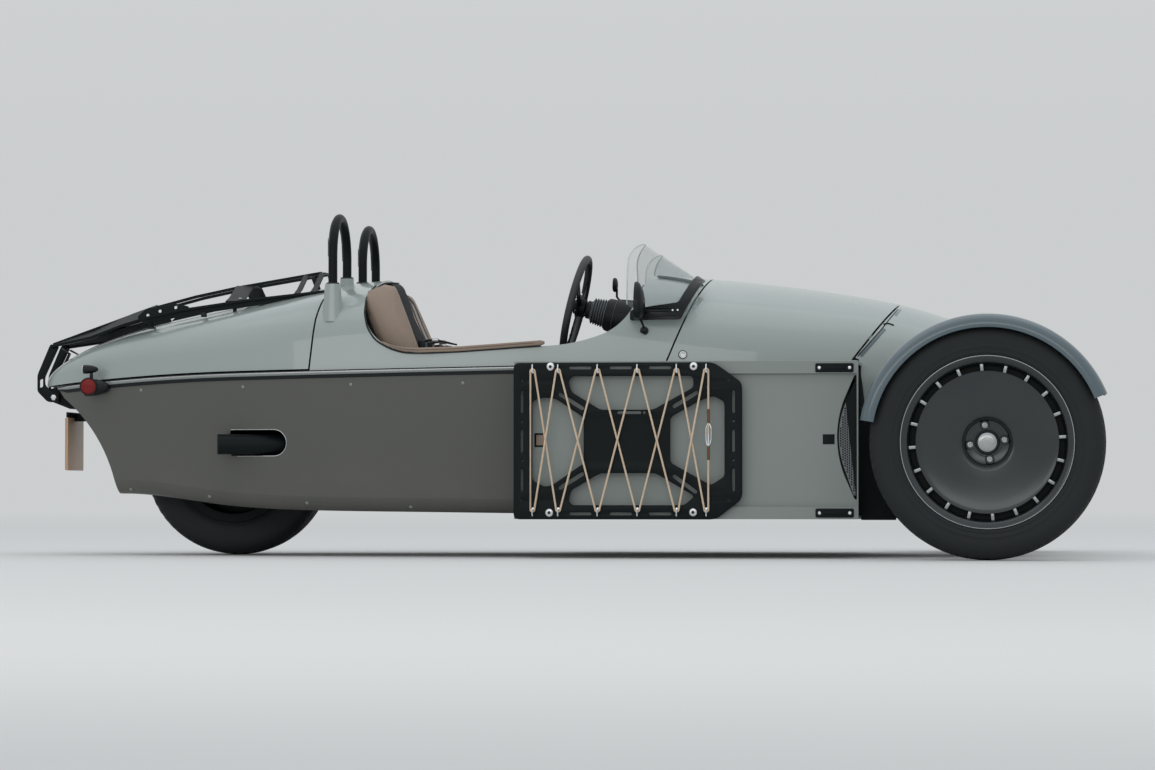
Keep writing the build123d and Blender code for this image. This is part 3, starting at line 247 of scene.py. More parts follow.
# %% The floor
sheet = bpy.data.meshes.new("studio_floor")
FLOOR_HALF = 90.0
sheet.from_pydata([(x * FLOOR_HALF, y * FLOOR_HALF, 0) for x, y in ((-1, -1), (1, -1), (1, 1), (-1, 1))],
                  [], [(0, 1, 2, 3)])
floor = link(bpy.data.objects.new("studio_floor", sheet))
matt = Finish("pale_floor", (0.66, 0.665, 0.66), roughness=0.9)
matt.shader.inputs["Specular IOR Level"].default_value = 0.1
glow = matt.node("Emission", None, {"Color": HORIZON})
away = matt.node("VectorMath", {"operation": "LENGTH"}, {0: matt.place()}, output=1)
faded = matt.node("MixShader", None, {0: matt.smooth(away, 3.0, 26.0),
                                      1: Signal(matt, matt.shader.outputs[0]), 2: glow})
matt.feed(matt.tree.nodes["Material Output"].inputs["Surface"], faded)
sheet.materials.append(matt.material)
print("floor", 2 * FLOOR_HALF, "m wide")

# %% [markdown]
# The upper body is sprayed a pale sage grey under clear lacquer. Lacquer is a coat: a
# second, sharper reflection over a softer one. Real paint is never dead even, so a very
# slow noise leans the colour a few percent, and a fine one is the lacquer's orange peel.

# %% Painted panels
def lacquer(name, color, rough, coat, peel):
    f = Finish(name, color, roughness=rough, coat_weight=coat, coat_roughness=0.04, metallic=0.0)
    drift = f.noise(1.7, 3.0)
    f.paint(f.mix(drift, tone(color, 0.94), tone(color, 1.06)))
    f.gloss(rough + f.noise(9.0) * 0.06)
    f.relief(f.noise(420.0, 1.0), peel)
    return f


finishes = {}
finishes["body_paint"] = lacquer("sage_grey_gloss", (0.295, 0.345, 0.330), 0.30, 0.7, 0.00002)
finishes["guard_paint"] = lacquer("slate_metal_gloss", (0.062, 0.098, 0.116), 0.28, 0.8, 0.00002)
tub = lacquer("warm_grey_satin", (0.084, 0.085, 0.075), 0.42, 0.22, 0.00003)
height = tub.axis("Z")
dust = (1 - tub.smooth(height, 0.14, 0.42)) * tub.smooth(tub.noise(5.0, 6.0, 0.62), 0.35, 0.75)
tub.paint(tub.mix(dust * 0.35, tub.color, (0.14, 0.128, 0.104, 1)))
tub.gloss(0.40 + dust * 0.3)
finishes["tub_paint"] = tub
print("paints:", sorted(finishes))

# %% [markdown]
# Everything that is not sprayed is cast, plated, moulded or woven. All of it can share one
# recipe: a colour that drifts a little, a gloss that a fine grain breaks up, and a low
# relief from the same grain. Leather, webbing and cord get a pattern of their own on top,
# because a creased hide and a woven strap are known by their pattern, not by their colour.

# %% Metals, rubber and plastics
def plain(name, color, rough, metallic=0.0, grain=180.0, depth=0.00008, **more):
    f = Finish(name, color, roughness=rough, metallic=metallic, **more)
    speck = f.noise(grain, 3.0, 0.6)
    f.paint(f.mix(f.noise(6.0), tone(color, 0.86), tone(color, 1.12)))
    f.gloss(rough - 0.08 + speck * 0.16)
    f.relief(speck, depth)
    return f


finishes["bright_strip"] = plain("bright_aluminium", (0.72, 0.73, 0.74), 0.24, 1.0, 60.0, 0.00001)
finishes["black_metal"] = plain("black_powder_coat", (0.006, 0.009, 0.010), 0.42, 0.0, 900.0, 0.00006,
                                specular_ior_level=0.12)
finishes["cast_alloy"] = plain("sand_cast_alloy", (0.21, 0.22, 0.22), 0.50, 0.9, 300.0, 0.0003)
finishes["arm_metal"] = plain("dark_plated_steel", (0.10, 0.105, 0.11), 0.34, 0.85)
finishes["wheel_paint"] = plain("graphite_satin", (0.058, 0.064, 0.066), 0.20, 0.85, 1400.0, 0.00001)
finishes["tyre_rubber"] = plain("tyre_rubber", (0.016, 0.019, 0.021), 0.60, 0.0, 500.0, 0.00015, specular_ior_level=0.24)
hide = Finish("tan_leather", (0.305, 0.230, 0.176), roughness=0.46)
creases = hide.node("TexVoronoi", {"feature": "DISTANCE_TO_EDGE"}, {"Vector": hide.place(), "Scale": 420.0})
grain = hide.smooth(creases, 0.0, 0.22)
tan = hide.mix(hide.noise(4.0, 3.0), tone(hide.color, 0.84), tone(hide.color, 1.14))
hide.paint(hide.mix(grain * 0.35 + 0.65, tone(hide.color, 0.55), tan))
hide.gloss(0.52 - grain * 0.10 + hide.noise(30.0) * 0.08)
hide.relief(grain + hide.noise(900.0, 2.0) * 0.4, 0.00022)
finishes["tan_leather"] = hide
finishes["leather_piping"] = plain("leather_piping", (0.085, 0.058, 0.042), 0.55)
finishes["boot_rubber"] = plain("boot_rubber", (0.085, 0.095, 0.100), 0.5)
weave = Finish("webbing", (0.022, 0.025, 0.027), roughness=0.8)
across, lengthwise = (weave.node("Math", {"operation": "SINE"}, {0: weave.axis(name) * 3600.0}) for name in "YZ")
threads = (across * lengthwise + 1) * 0.5
weave.paint(weave.mix(threads * 0.6 + weave.noise(40.0) * 0.3, (0.012, 0.014, 0.015, 1), (0.040, 0.044, 0.047, 1)))
weave.gloss(0.85 - threads * 0.15)
weave.relief(threads, 0.0004)
finishes["webbing"] = weave
finishes["black_hide"] = plain("black_hide", (0.022, 0.024, 0.026), 0.52, 0.0, 900.0, 0.0002)
finishes["gloss_black"] = lacquer("gloss_black", (0.006, 0.008, 0.010), 0.25, 0.10, 0.00001)
finishes["gloss_black"].shader.inputs["Specular IOR Level"].default_value = 0.2


def glazed(name, color, rough, **more):
    """Glass and lens: nearly even, with a breath of dust that shows only in the gloss."""
    f = Finish(name, color, roughness=rough, **more)
    film = f.noise(14.0, 4.0, 0.6)
    f.paint(f.mix(film, tone(color, 0.93), tone(color, 1.07)))
    f.gloss(film * 0.10 + (rough - 0.02))
    return f


def ribbed(name, color, pitch):
    """A moulded lens, whose back is cut in fine ribs; the light and dark bands in its colour along the ribs are painted
    highlight and shade.
    """
    f = glazed(name, color, 0.16, coat_weight=0.12, coat_roughness=0.05, specular_ior_level=0.2)
    wave = f.node("Math", {"operation": "SINE"}, {0: f.axis("Z") * (2 * math.pi / pitch)}) * 0.5 + 0.5
    # Lighter and darker bands along the ribs: painted highlight and shade.
    f.paint(f.mix(wave, tone(color, 0.55), tone(color, 1.35)))
    f.relief(wave, 0.0004)
    return f


finishes["mirror_glass"] = glazed("mirror_glass", (0.85, 0.87, 0.88), 0.03, metallic=1.0)
finishes["pod_paint"] = lacquer("pod_grey_satin", (0.225, 0.255, 0.240), 0.42, 0.2, 0.00003)
finishes["blade_paint"] = plain("blade_edges", (0.34, 0.36, 0.37), 0.30, 0.8)
finishes["cap_metal"] = plain("cap_metal", (0.42, 0.43, 0.43), 0.26, 1.0, 90.0, 0.00001)
finishes["mesh_wire"] = plain("mesh_wire", (0.17, 0.185, 0.19), 0.34, 0.3)
finishes["dark_trim"] = plain("dark_trim", (0.010, 0.013, 0.015), 0.45, specular_ior_level=0.20)
finishes["clear_screen"] = glazed("clear_screen", (0.30, 0.36, 0.36), 0.03, alpha=0.12)
# A pale, half opaque finish for the screen's edge bar: a painted highlight.
finishes["painted_edge_highlight"] = glazed("painted_edge_highlight", (0.62, 0.68, 0.66), 0.12, alpha=0.55)
finishes["lamp_glass"] = glazed("lamp_glass", (0.55, 0.60, 0.60), 0.03, alpha=0.16)
finishes["lamp_mirror"] = glazed("lamp_mirror", (0.70, 0.72, 0.74), 0.10, metallic=1.0)
finishes["brake_steel"] = plain("brake_steel", (0.32, 0.32, 0.32), 0.32, 1.0, 240.0, 0.00003)
finishes["grey_sleeve"] = plain("grey_sleeve", (0.075, 0.085, 0.09), 0.55, 0.0, 500.0, 0.0002)
finishes["exhaust_steel"] = plain("exhaust_steel", (0.075, 0.072, 0.070), 0.30, 0.9)
finishes["red_lens"] = ribbed("red_lens", (0.19, 0.007, 0.007), 0.004)
finishes["amber_lens"] = ribbed("amber_lens", (0.50, 0.15, 0.02), 0.004)
finishes["cord_wrap"] = plain("brown_whipping", (0.16, 0.075, 0.035), 0.7)
finishes["lamp_shell"] = lacquer("lamp_shell", (0.008, 0.009, 0.010), 0.30, 0.08, 0.00001)
finishes["lamp_shell"].shader.inputs["Specular IOR Level"].default_value = 0.2
finishes["plate_back"] = plain("plate_back", (0.62, 0.42, 0.28), 0.4)
braid = Finish("cord_tan", (0.68, 0.53, 0.39), roughness=0.8)
slant = braid.node("Math", {"operation": "SINE"},
                   {0: (braid.axis("Z") + braid.axis("X") * 0.6 + braid.axis("Y") * 2.0) * 1500.0})
counter = braid.node("Math", {"operation": "SINE"},
                     {0: (braid.axis("Z") - braid.axis("X") * 0.6 - braid.axis("Y") * 2.0) * 1500.0})
plait = (slant * counter + 1) * 0.5
braid.paint(braid.mix(plait, (0.54, 0.41, 0.29, 1), (0.80, 0.64, 0.48, 1)))
braid.gloss(0.88 - plait * 0.16)
braid.relief(plait, 0.0004)
finishes["cord_tan"] = braid
finishes["dial_face"] = plain("dial_face", (0.020, 0.021, 0.022), 0.30)
slot_of = {row["node"]: row["material_slot"] for row in frame["record"]["subparts"]}
for node, thing in frame["nodes"].items():
    thing.data.materials.clear()
    paint = "pod_paint" if node.startswith("side_pod") else slot_of[node]
    thing.data.materials.append(finishes[paint].material)

# %% [markdown]
# Blender can grow a piece from ready-made solids and modifiers, but a car is mostly turned
# rings, bent bars and flat plates with holes. Three small tools make those: a lathe, a bar
# swept along a path, and a plate cut from outlines. One class gathers them, so that small
# things such as bolts become one joined mesh rather than a hundred objects.

# %% A box of mesh tools
import bmesh


def ring_points(centre, across, up, radius, count, start=0.0):
    """Points round a circle, from across towards up."""
    return [centre + across * (radius * math.cos(a)) + up * (radius * math.sin(a))
            for a in (start + 2 * math.pi * k / count for k in range(count))]


def rounded(corners, radius, steps=5):
    """A closed outline in the plane with its corners rounded off."""
    line = []
    for k, corner in enumerate(corners):
        here = Vector(corner)
        before = (Vector(corners[k - 1]) - here)
        after = (Vector(corners[(k + 1) % len(corners)]) - here)
        reach = min(radius, 0.45 * before.length, 0.45 * after.length)
        start, end = here + before.normalized() * reach, here + after.normalized() * reach
        for s in range(steps + 1):
            t = s / steps
            line.append(start * (1 - t) ** 2 + here * (2 * t * (1 - t)) + end * t ** 2)
    return line


def frames_along(path, closed=False):
    """Each point of a path with two directions across it, carried along without twist."""
    count = len(path)
    ahead = []
    for k in range(count):
        low = path[k - 1] if closed or k else path[k]
        high = path[(k + 1) % count] if closed or k < count - 1 else path[k]
        ahead.append((high - low).normalized())
    side = ahead[0].orthogonal().normalized()
    found = []
    for k in range(count):
        side = (side - ahead[k] * side.dot(ahead[k])).normalized()
        found.append((path[k], side, ahead[k].cross(side)))
    return found


SHIFT = Matrix.Translation(Vector((AXLE, 0, 0)))


class Shape:
    """Gathers the points and faces of one piece, part by part, in metres."""

    def __init__(self):
        self.points, self.faces, self.tones = [], [], []

    def add(self, points, faces, tone=0, move=None):
        start = len(self.points)
        self.points += [move @ Vector(p) if move else Vector(p) for p in points]
        self.faces += [[start + k for k in face] for face in faces]
        self.tones += [tone] * len(faces)
        return self

    def skin(self, rings, tone=0, ring_closed=True, round_again=False, caps=False, move=None):
        """Faces between rings that have the same number of points."""
        count, total = len(rings[0]), len(rings)
        faces = []
        for r in range(total if round_again else total - 1):
            for k in range(count if ring_closed else count - 1):
                n, s = (k + 1) % count, (r + 1) % total
                faces.append((r * count + k, r * count + n, s * count + n, s * count + k))
        if caps:
            faces += [tuple(range(count)), tuple((total - 1) * count + k for k in range(count))]
        return self.add([p for ring in rings for p in ring], faces, tone, move)

    def lathe(self, profile, centre, steps=96, tone=0, axis="Y", dent=None, arc=None, closed=True):
        """Turns a profile of (radius, offset) in millimetres about an axis through centre."""
        rings = []
        low, high = arc or (0.0, 360.0)
        last = steps if arc is None else steps + 1
        for k in range(last):
            a = math.radians(low + (high - low) * k / steps)
            c, s = math.cos(a), math.sin(a)
            ring = []
            for i, (radius, offset) in enumerate(profile):
                r = (radius - (dent(k, i) if dent else 0.0)) / 1000
                o = offset / 1000
                ring.append(centre + (Vector((r * c, o, r * s)) if axis == "Y" else
                                      Vector((o, r * c, r * s)) if axis == "X" else Vector((r * c, r * s, o))))
            rings.append(ring)
        return self.skin(rings, tone, closed, arc is None, caps=arc is not None and closed)

    def bar(self, path, radius, sides=12, tone=0, closed=False):
        """A round bar along a path of places; radius is one number or one a point, in millimetres."""
        radii = radius if isinstance(radius, (list, tuple)) else [radius] * len(path)
        rings = [ring_points(p, u, v, r / 1000, sides) for (p, u, v), r in zip(frames_along(path, closed), radii)]
        return self.skin(rings, tone, True, closed, caps=not closed)

    def box(self, low, high, tone=0, soften=1.5, move=None, steps=2):
        """A block between two corners, as stations in millimetres, with softened edges."""
        size = [b - a for a, b in zip(low, high)]
        bm = bmesh.new()
        bmesh.ops.create_cube(bm, size=1.0)
        for v in bm.verts:
            v.co = Vector([low[i] + (v.co[i] + 0.5) * size[i] for i in range(3)]) / 1000
        edge = min(soften, 0.45 * min(size)) / 1000
        if edge > 0:
            bmesh.ops.bevel(bm, geom=bm.edges[:], offset=edge, segments=steps, profile=0.5, affect="EDGES")
        bm.verts.index_update()
        points, faces = [v.co.copy() for v in bm.verts], [[v.index for v in f.verts] for f in bm.faces]
        bm.free()
        return self.add(points, faces, tone, SHIFT if move is None else move)

    def plate(self, loops, low, high, tone=0, soften=1.0, move=None):
        """A sheet cut from outlines, the first outside and the rest holes, as (x, z) in millimetres."""
        thick = (high - low) / 1000
        edge = min(soften / 1000, thick * 0.45)
        curve = bpy.data.curves.new("cutter", "CURVE")
        curve.dimensions, curve.fill_mode = "2D", "BOTH"
        curve.extrude, curve.bevel_depth, curve.offset = thick / 2 - edge, edge, -edge
        curve.bevel_resolution = 1
        for loop in loops:
            spline = curve.splines.new("POLY")
            spline.points.add(len(loop) - 1)
            spline.use_cyclic_u = True
            for point, (x, z) in zip(spline.points, loop):
                point.co = (x / 1000, z / 1000, 0, 1)
        holder = bpy.data.objects.new("cutter", curve)
        mesh = bpy.data.meshes.new_from_object(holder)
        middle = (low + high) / 2000
        points = [(v.co.x, middle - v.co.z, v.co.y) for v in mesh.vertices]
        faces = [list(p.vertices) for p in mesh.polygons]
        bpy.data.objects.remove(holder)
        bpy.data.curves.remove(curve)
        bpy.data.meshes.remove(mesh)
        return self.add(points, faces, tone, SHIFT if move is None else move)

    def mirrored(self):
        """The same shape on the car's other side."""
        other = Shape()
        other.points = [Vector((p.x, -p.y, p.z)) for p in self.points]
        other.faces = [face[::-1] for face in self.faces]
        other.tones = list(self.tones)
        return other

    def join(self, other):
        return self.add(other.points, other.faces).retone(other)

    def retone(self, other):
        self.tones[-len(other.tones):] = other.tones
        return self

    def build(self, name, finish_names, slot, body="chassis", replaces=(), sharp=35):
        mesh = bpy.data.meshes.new(name)
        mesh.from_pydata(self.points, [], self.faces)
        for key in finish_names:
            mesh.materials.append(finishes[key].material)
        mesh.polygons.foreach_set("material_index", self.tones)
        bm = bmesh.new()
        bm.from_mesh(mesh)
        bmesh.ops.remove_doubles(bm, verts=bm.verts[:], dist=0.000002)
        bmesh.ops.recalc_face_normals(bm, faces=bm.faces[:])
        bm.to_mesh(mesh)
        bm.free()
        mesh.shade_smooth()
        mesh.set_sharp_from_angle(angle=math.radians(sharp))
        piece = link(bpy.data.objects.new(name, mesh))
        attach(piece, body)
        if replaces:
            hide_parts(*replaces)
        print(name, len(mesh.polygons), "faces")
        return piece


SIDES = (("left", 1), ("right", -1))


def both_sides(shape, name, finish_names, slot, body="chassis", replaces=(), sharp=35):
    """Builds a left shape and its mirror image, where {} in a name stands for the side."""
    for side, sign in SIDES:
        made = shape if sign > 0 else shape.mirrored()
        made.build(name + "_" + side, finish_names, slot, body.format(side),
                   [n.format(side) for n in replaces], sharp)


print("mesh tools ready")

# %% [markdown]
# A tall, narrow front tyre shows most of its sidewall. It is a turned profile: beads,
# a rim protector rib, a long flat flank and a tread with three grooves. The shoulder
# notches repeat seventy-two times, so we dent the turned rings there rather than cut them.

# %% Front tyres
FRONT_HALF_PROFILE = [  # radius, offset from the middle plane
    (262, 0), (262, 46), (266, 50), (272, 53.2), (278, 57.5), (281, 60.2), (284, 61.0), (287, 60.0),
    (291, 60.8), (298, 62.6), (300, 63.6), (302, 62.9), (312, 64.4), (322, 65.0), (333, 64.6),
    (344, 62.6), (352, 59.0), (358, 55.0), (362.5, 51.0), (365.6, 46.5), (367.6, 41.0),
    (368.6, 36.0), (363.6, 35.4), (363.6, 30.6), (369.4, 30.0), (370.3, 14.0), (364.9, 13.4),
    (364.9, 9.6), (370.7, 9.0), (371, 0),
]
NOTCHES = 72


def whole_profile(half):
    return half[1:] + [(r, -o) for r, o in reversed(half[1:-1])]


def notch(pitch_steps, first, last, count, depth):
    """A dent at one step in each pitch, on the shoulder points of both sides."""
    def dent(k, i):
        mirrored_i = 2 * (count - 2) - i
        here = min(i, mirrored_i)
        return depth if k % pitch_steps == 0 and first <= here <= last else 0.0
    return dent


front_tyre = Shape().lathe(whole_profile(FRONT_HALF_PROFILE), at(0, TRACK_HALF, TYRE_R), NOTCHES * 4,
                           dent=notch(4, 16, 20, len(FRONT_HALF_PROFILE), 3.0))
both_sides(front_tyre, "front_tyre", ["tyre_rubber"], "tyre_rubber", "wheel_front_{}",
           ["tyre_front_{}"], sharp=28)

# %% [markdown]
# The rear tyre carries the drive and is far wider than it is tall in section. It is made
# in the same way: half a profile, mirrored, turned, and dented at sixty places.

# %% Rear tyre
REAR_HALF_PROFILE = [
    (192, 0), (192, 82), (206, 90), (214, 93), (220, 96), (226, 97.2), (250, 97.2), (270, 97.0),
    (285, 95.0), (296, 90.0), (304, 83.0), (309, 76.0), (312, 68.0), (313.2, 60.0), (307, 59.2),
    (307, 53.0), (314.2, 52.2), (315.8, 24.0), (309, 23.2), (309, 16.8), (316.2, 16.0), (317, 0),
]
rear_tyre = Shape().lathe(whole_profile(REAR_HALF_PROFILE), at(-WHEELBASE, 0, REAR_TYRE_R), 60 * 4,
                          dent=notch(4, 9, 13, len(REAR_HALF_PROFILE), 4.0))
rear_tyre.build("rear_tyre", ["tyre_rubber"], "tyre_rubber", "wheel_rear", ["tyre_rear"], sharp=28)

# %% [markdown]
# The front wheels are deep dishes with a solid centre disc. Twenty short blades join the disc to the barrel, and light
# passes between them. The disc is hollow like a saucer, so its lower half faces up and catches the sky: that shading
# has to come from the shape. Behind the blades sits a black backing ring, and a black lining runs round the barrel's
# inner wall. Their black is painted shade, the darkness deep inside the wheel.

# %% Front rims
BLADES = 20
BLADE_WIDTH = 10.0
rim = Shape()
centre = at(0, TRACK_HALF, TYRE_R)
rim.lathe([(260, -46.2), (272, -52.2), (272, -56), (245, -56), (245, 30), (247.5, 41), (252, 47), (258, 51.5),
           (264, 54.5), (268, 56.4), (270.4, 57), (271.8, 56.4), (272, 55), (272, 52.2), (260, 46.2)], centre, 144)
rim.lathe([(32, 3), (66, 3), (69, 4.5), (79, 24), (83.5, 27.2), (90, 27.9), (120, 29.6), (150, 31.6), (185, 34.8),
           (210, 38.2), (221, 40.6), (224, 42), (225, 40.5), (225, 15), (222, 13), (219, 34), (185, 28.5),
           (120, 23), (84, 20), (70, -8), (32, -8)], centre, 144)
for k in range(BLADES):
    turn = Matrix.Translation(centre) @ Matrix.Rotation(-math.radians(360 * k / BLADES + 4), 4, "Y")
    rim.box((222, 14, -BLADE_WIDTH / 2), (248, 40, BLADE_WIDTH / 2), tone=2, soften=1.2, move=turn)
# Backing ring and barrel lining in black: painted shade for the wheel's deep inside.
rim.lathe([(205, 6), (245.5, 6), (245.5, 9), (205, 9)], centre, 96, tone=1)
rim.lathe([(244.6, 9.5), (244.6, 29.5), (247.0, 40.6), (246.0, 41.2), (243.6, 30.0), (243.6, 9.5)], centre, 144, tone=1)
both_sides(rim, "front_rim", ["wheel_paint", "black_metal", "blade_paint"], "wheel_paint", "wheel_front_{}",
           ["rim_front_{}"], sharp=40)

# %% [markdown]
# A machined line at the rim's edge, four bolts in dark rings and a plain domed cap are small turned parts. They could
# be textures, but then they would have no edge to catch the light, so each one is a real ring or plug with three or
# four steps in its profile. The dark ring round the cap is painted shade, standing for the hub's recess.

# %% The bright lip line, bolts and the plain centre cap
trim = Shape()
trim.lathe([(270.6, 57.2), (271.6, 57.7), (272.8, 57.0), (273.4, 55.6), (272.4, 54.4), (270.6, 55.6)], centre, 144, tone=0)
trim.lathe([(0, 14.5), (18, 14.2), (27, 12.8), (30, 10.8), (31, 8), (31, 2), (0, 2)], centre, 48, tone=0)
# Dark ring round the cap: painted shade for the hub's recess.
trim.lathe([(31, 7.5), (35, 8.5), (38, 7.5), (39.5, 5), (39.5, 2), (31, 2)], centre, 48, tone=3)
trim.lathe([(42, 5.5), (44, 6.6), (46, 5.5), (46, 2), (42, 2)], centre, 48, tone=1)
BOLT_CIRCLE_R = 54.0
for k in range(4):
    a = math.radians(90 * k + 8)
    spot = centre + Vector((BOLT_CIRCLE_R * math.cos(a), 0, BOLT_CIRCLE_R * math.sin(a))) / 1000
    trim.lathe([(9.5, 7.5), (13.5, 8.5), (15, 7), (15, 2), (9.5, 2)], spot, 24, tone=1)
    trim.lathe([(0, 6), (4.6, 6), (4.8, 12.5), (6, 13.4), (8.6, 12.6), (9.3, 11), (9.3, 2), (0, 2)], spot, 6 * 4, tone=0)
both_sides(trim, "wheel_trim", ["cap_metal", "wheel_paint", "bright_strip", "dark_trim"], "bright_strip",
           "wheel_front_{}", (), sharp=30)

# %% [markdown]
# Inside the wheel a brake disc is bolted to the hub. Its rows of holes are dark plugs that stand a little proud of the
# steel. Their black is painted shade, the dark inside a hole. Cutting fifty-four holes would cost more faces, and at
# this size nobody can tell the difference.

# %% Hubs with drilled brake discs
hub = Shape()
hub.lathe([(16.2, -40), (34, -40), (40, -26), (60, -22), (140, -22), (140, -14), (64, -14), (62, -8), (16.2, -8)],
          centre, 96)
for ring_r, count in ((84, 12), (104, 18), (124, 24)):
    for k in range(count):
        a = 2 * math.pi * (k + ring_r / 50) / count
        hole = centre + Vector((ring_r * math.cos(a), 0, ring_r * math.sin(a))) / 1000
        # Each hole is a black plug: painted shade.
        hub.lathe([(0, -13.8), (3.4, -13.8), (3.4, -22.2), (0, -22.2)], hole, 10, tone=1)
both_sides(hub, "front_hub", ["brake_steel", "black_metal"], "arm_metal", "wheel_front_{}", ["hub_front_{}"])

# %% [markdown]
# The rear rim sits inside the body, with only its lower edge in sight. One turned barrel and one turned disc are
# enough, in the same black as the other hidden metal. That black is painted shade, since the rim sits in the body's
# shadow.

# %% Rear rim
back = at(-WHEELBASE, 0, REAR_TYRE_R)
rear_rim = Shape()
rear_rim.lathe([(190, -82.2), (205, -88.5), (207, -91), (205, -94.5), (178, -94.5), (176, -90), (172, -60), (172, 60),
                (176, 90), (178, 94.5), (205, 94.5), (207, 91), (205, 88.5), (190, 82.2)], back, 96)
rear_rim.lathe([(14.1, -40), (52, -40), (56, -36), (60, -14), (100, -18), (174, -14), (174, -4), (100, -8), (60, -4),
                (56, 36), (52, 40), (14.1, 40)], back, 96)
# All black: painted shade of the rim inside the body.
rear_rim.build("rear_rim", ["black_metal"], "wheel_paint", "wheel_rear", ["rim_rear"])

# %% [markdown]
# A cycle guard is one rolled sheet of metal: a crowned top that turns through a soft bend
# into a side lip, with the edge rolled over a wire so that it is stiff and safe to touch.
# Two bent stays run from the knuckle, so the guard turns with the wheel.

# %% Mudguards
GUARD_R, GUARD_WALL, GUARD_HALF, GUARD_LIP = 404.0, 4.0, 86.0, 44.0
GUARD_FROM, GUARD_TO = 22.0, 170.0
BEND_R = 34.0


def guard_section():
    """The outer skin from the inner edge over the crown and down the lip, then back inside."""
    outer = [(GUARD_R - 10, -GUARD_HALF), (GUARD_R - 3, -GUARD_HALF + 0.6), (GUARD_R - 1, -GUARD_HALF + 4)]
    outer += [(GUARD_R, -60), (GUARD_R, 0), (GUARD_R, GUARD_HALF - BEND_R)]
    for k in range(1, 13):
        a = math.radians(90 * k / 12)
        outer.append((GUARD_R - BEND_R + BEND_R * math.cos(a), GUARD_HALF - BEND_R + BEND_R * math.sin(a)))
    outer += [(GUARD_R - GUARD_LIP + 5, GUARD_HALF), (GUARD_R - GUARD_LIP + 1, GUARD_HALF - 0.6),
              (GUARD_R - GUARD_LIP, GUARD_HALF - 2.5), (GUARD_R - GUARD_LIP + 1.5, GUARD_HALF - 5)]
    inner = []
    for k in range(12, -1, -1):
        a = math.radians(90 * k / 12)
        bend = BEND_R - GUARD_WALL
        inner.append((GUARD_R - BEND_R + bend * math.cos(a), GUARD_HALF - BEND_R + bend * math.sin(a)))
    inner += [(GUARD_R - GUARD_WALL, 0), (GUARD_R - GUARD_WALL, -60), (GUARD_R - GUARD_WALL, -GUARD_HALF + 4),
              (GUARD_R - 10, -GUARD_HALF + 3)]
    return outer + inner


guard = Shape()
guard.lathe(guard_section(), centre, 120, arc=(GUARD_FROM, GUARD_TO))
kingpin = TRACK_HALF - 60.0
knee_y = TRACK_HALF - 65.0 - 24.0
for turn in (62, 128):
    c, s = math.cos(math.radians(turn)), math.sin(math.radians(turn))
    rim_point = (400 * c, TRACK_HALF - GUARD_HALF + 7, TYRE_R + 400 * s)
    elbow = (330 * c, knee_y, TYRE_R + 330 * s)
    root = (math.copysign(27, c), kingpin - 10, TYRE_R + 90)
    corners = [at(*root), at(*elbow), at(*rim_point)]
    path = [corners[0], corners[0].lerp(corners[1], 0.85)]
    path += [corners[0].lerp(corners[1], 0.85) * (1 - t) ** 2 + corners[1] * 2 * t * (1 - t)
             + corners[1].lerp(corners[2], 0.4) * t ** 2 for t in (0.25, 0.5, 0.75, 1.0)]
    path += [corners[2]]
    guard.bar(path, 7, 12, tone=1)
    guard.lathe([(0, -3), (8, -3), (9.5, -1), (9.5, 2), (0, 2)], at(*root) + Vector((0, 0.012, 0)), 12, tone=1)
both_sides(guard, "cycle_guard", ["guard_paint", "black_metal"], "guard_paint", "upright_{}",
           ["mudguard_{}"], sharp=40)

# %% [markdown]
# The side rack is cut from sheet: a rounded frame, four arms and a centre plate, with long
# strap slots. We draw it as outlines in the plane of the pod and cut the holes in one go,
# which keeps every edge crisp and gives all of them the same small broken corner.

# %% Side carriers
CARRIER_FACE, CARRIER_THICK = 682.0, 8.0
carrier_outline = rounded([(-1526, 126), (-870, 126), (-785, 192), (-785, 566), (-876, 632), (-1526, 632)], 20)
window_outlines = [
    [(-1335, 588), (-1347, 572), (-1338, 538), (-1244, 480), (-1072, 480), (-941, 552), (-944, 588)],
    [(-1335, 172), (-1347, 186), (-1338, 220), (-1244, 275), (-1064, 275), (-939, 201), (-972, 172)],
    [(-1465, 510), (-1424, 520), (-1388, 515), (-1298, 455), (-1298, 307), (-1398, 238), (-1424, 231), (-1465, 252)],
    [(-1017, 455), (-922, 508), (-878, 524), (-842, 504), (-842, 265), (-886, 236), (-1017, 309)],
]


def slot(x, z, length, width, turn=0.0):
    """A long hole with round ends, as an outline."""
    a = math.radians(turn)
    line = []
    for end in (1, -1):
        for k in range(7):
            b = math.radians(-90 + 180 * k / 6) + (0 if end > 0 else math.pi)
            u, v = end * (length - width) / 2 + width / 2 * math.cos(b), width / 2 * math.sin(b)
            line.append((x + u * math.cos(a) - v * math.sin(a), z + u * math.sin(a) + v * math.cos(a)))
    return line


carrier_holes = [rounded(w, 12) for w in window_outlines]
for z in (615, 144):
    carrier_holes += [slot(x, z, 73, 9) for x in (-1309, -1178, -1050)]
for x in (-1499, -813):
    carrier_holes += [slot(x, z, 73, 9, 90) for z in (505, 379, 253)]
    carrier_holes += [slot(x + (-14 if x > -1000 and abs(z - 379) > 150 else 0), z, 8.2, 8) for z in (573, 442, 316, 186)]
carrier_holes += [slot(-1150, 470, 78, 8.5), slot(-1101, 470, 8.6, 8.4)]
carrier_holes += [slot(x, z, 96, 12.5, a) for x, z, a in
                  [(-1338, 507, -32), (-1338, 250, 32), (-968, 512, 31), (-970, 240, -36)]]
carrier = Shape()
carrier.plate([carrier_outline] + carrier_holes, CARRIER_FACE - CARRIER_THICK, CARRIER_FACE, soften=1.2)
KNOBS = [(-1405, 619), (-1409, 147.5), (-941, 618.5), (-943, 149)]
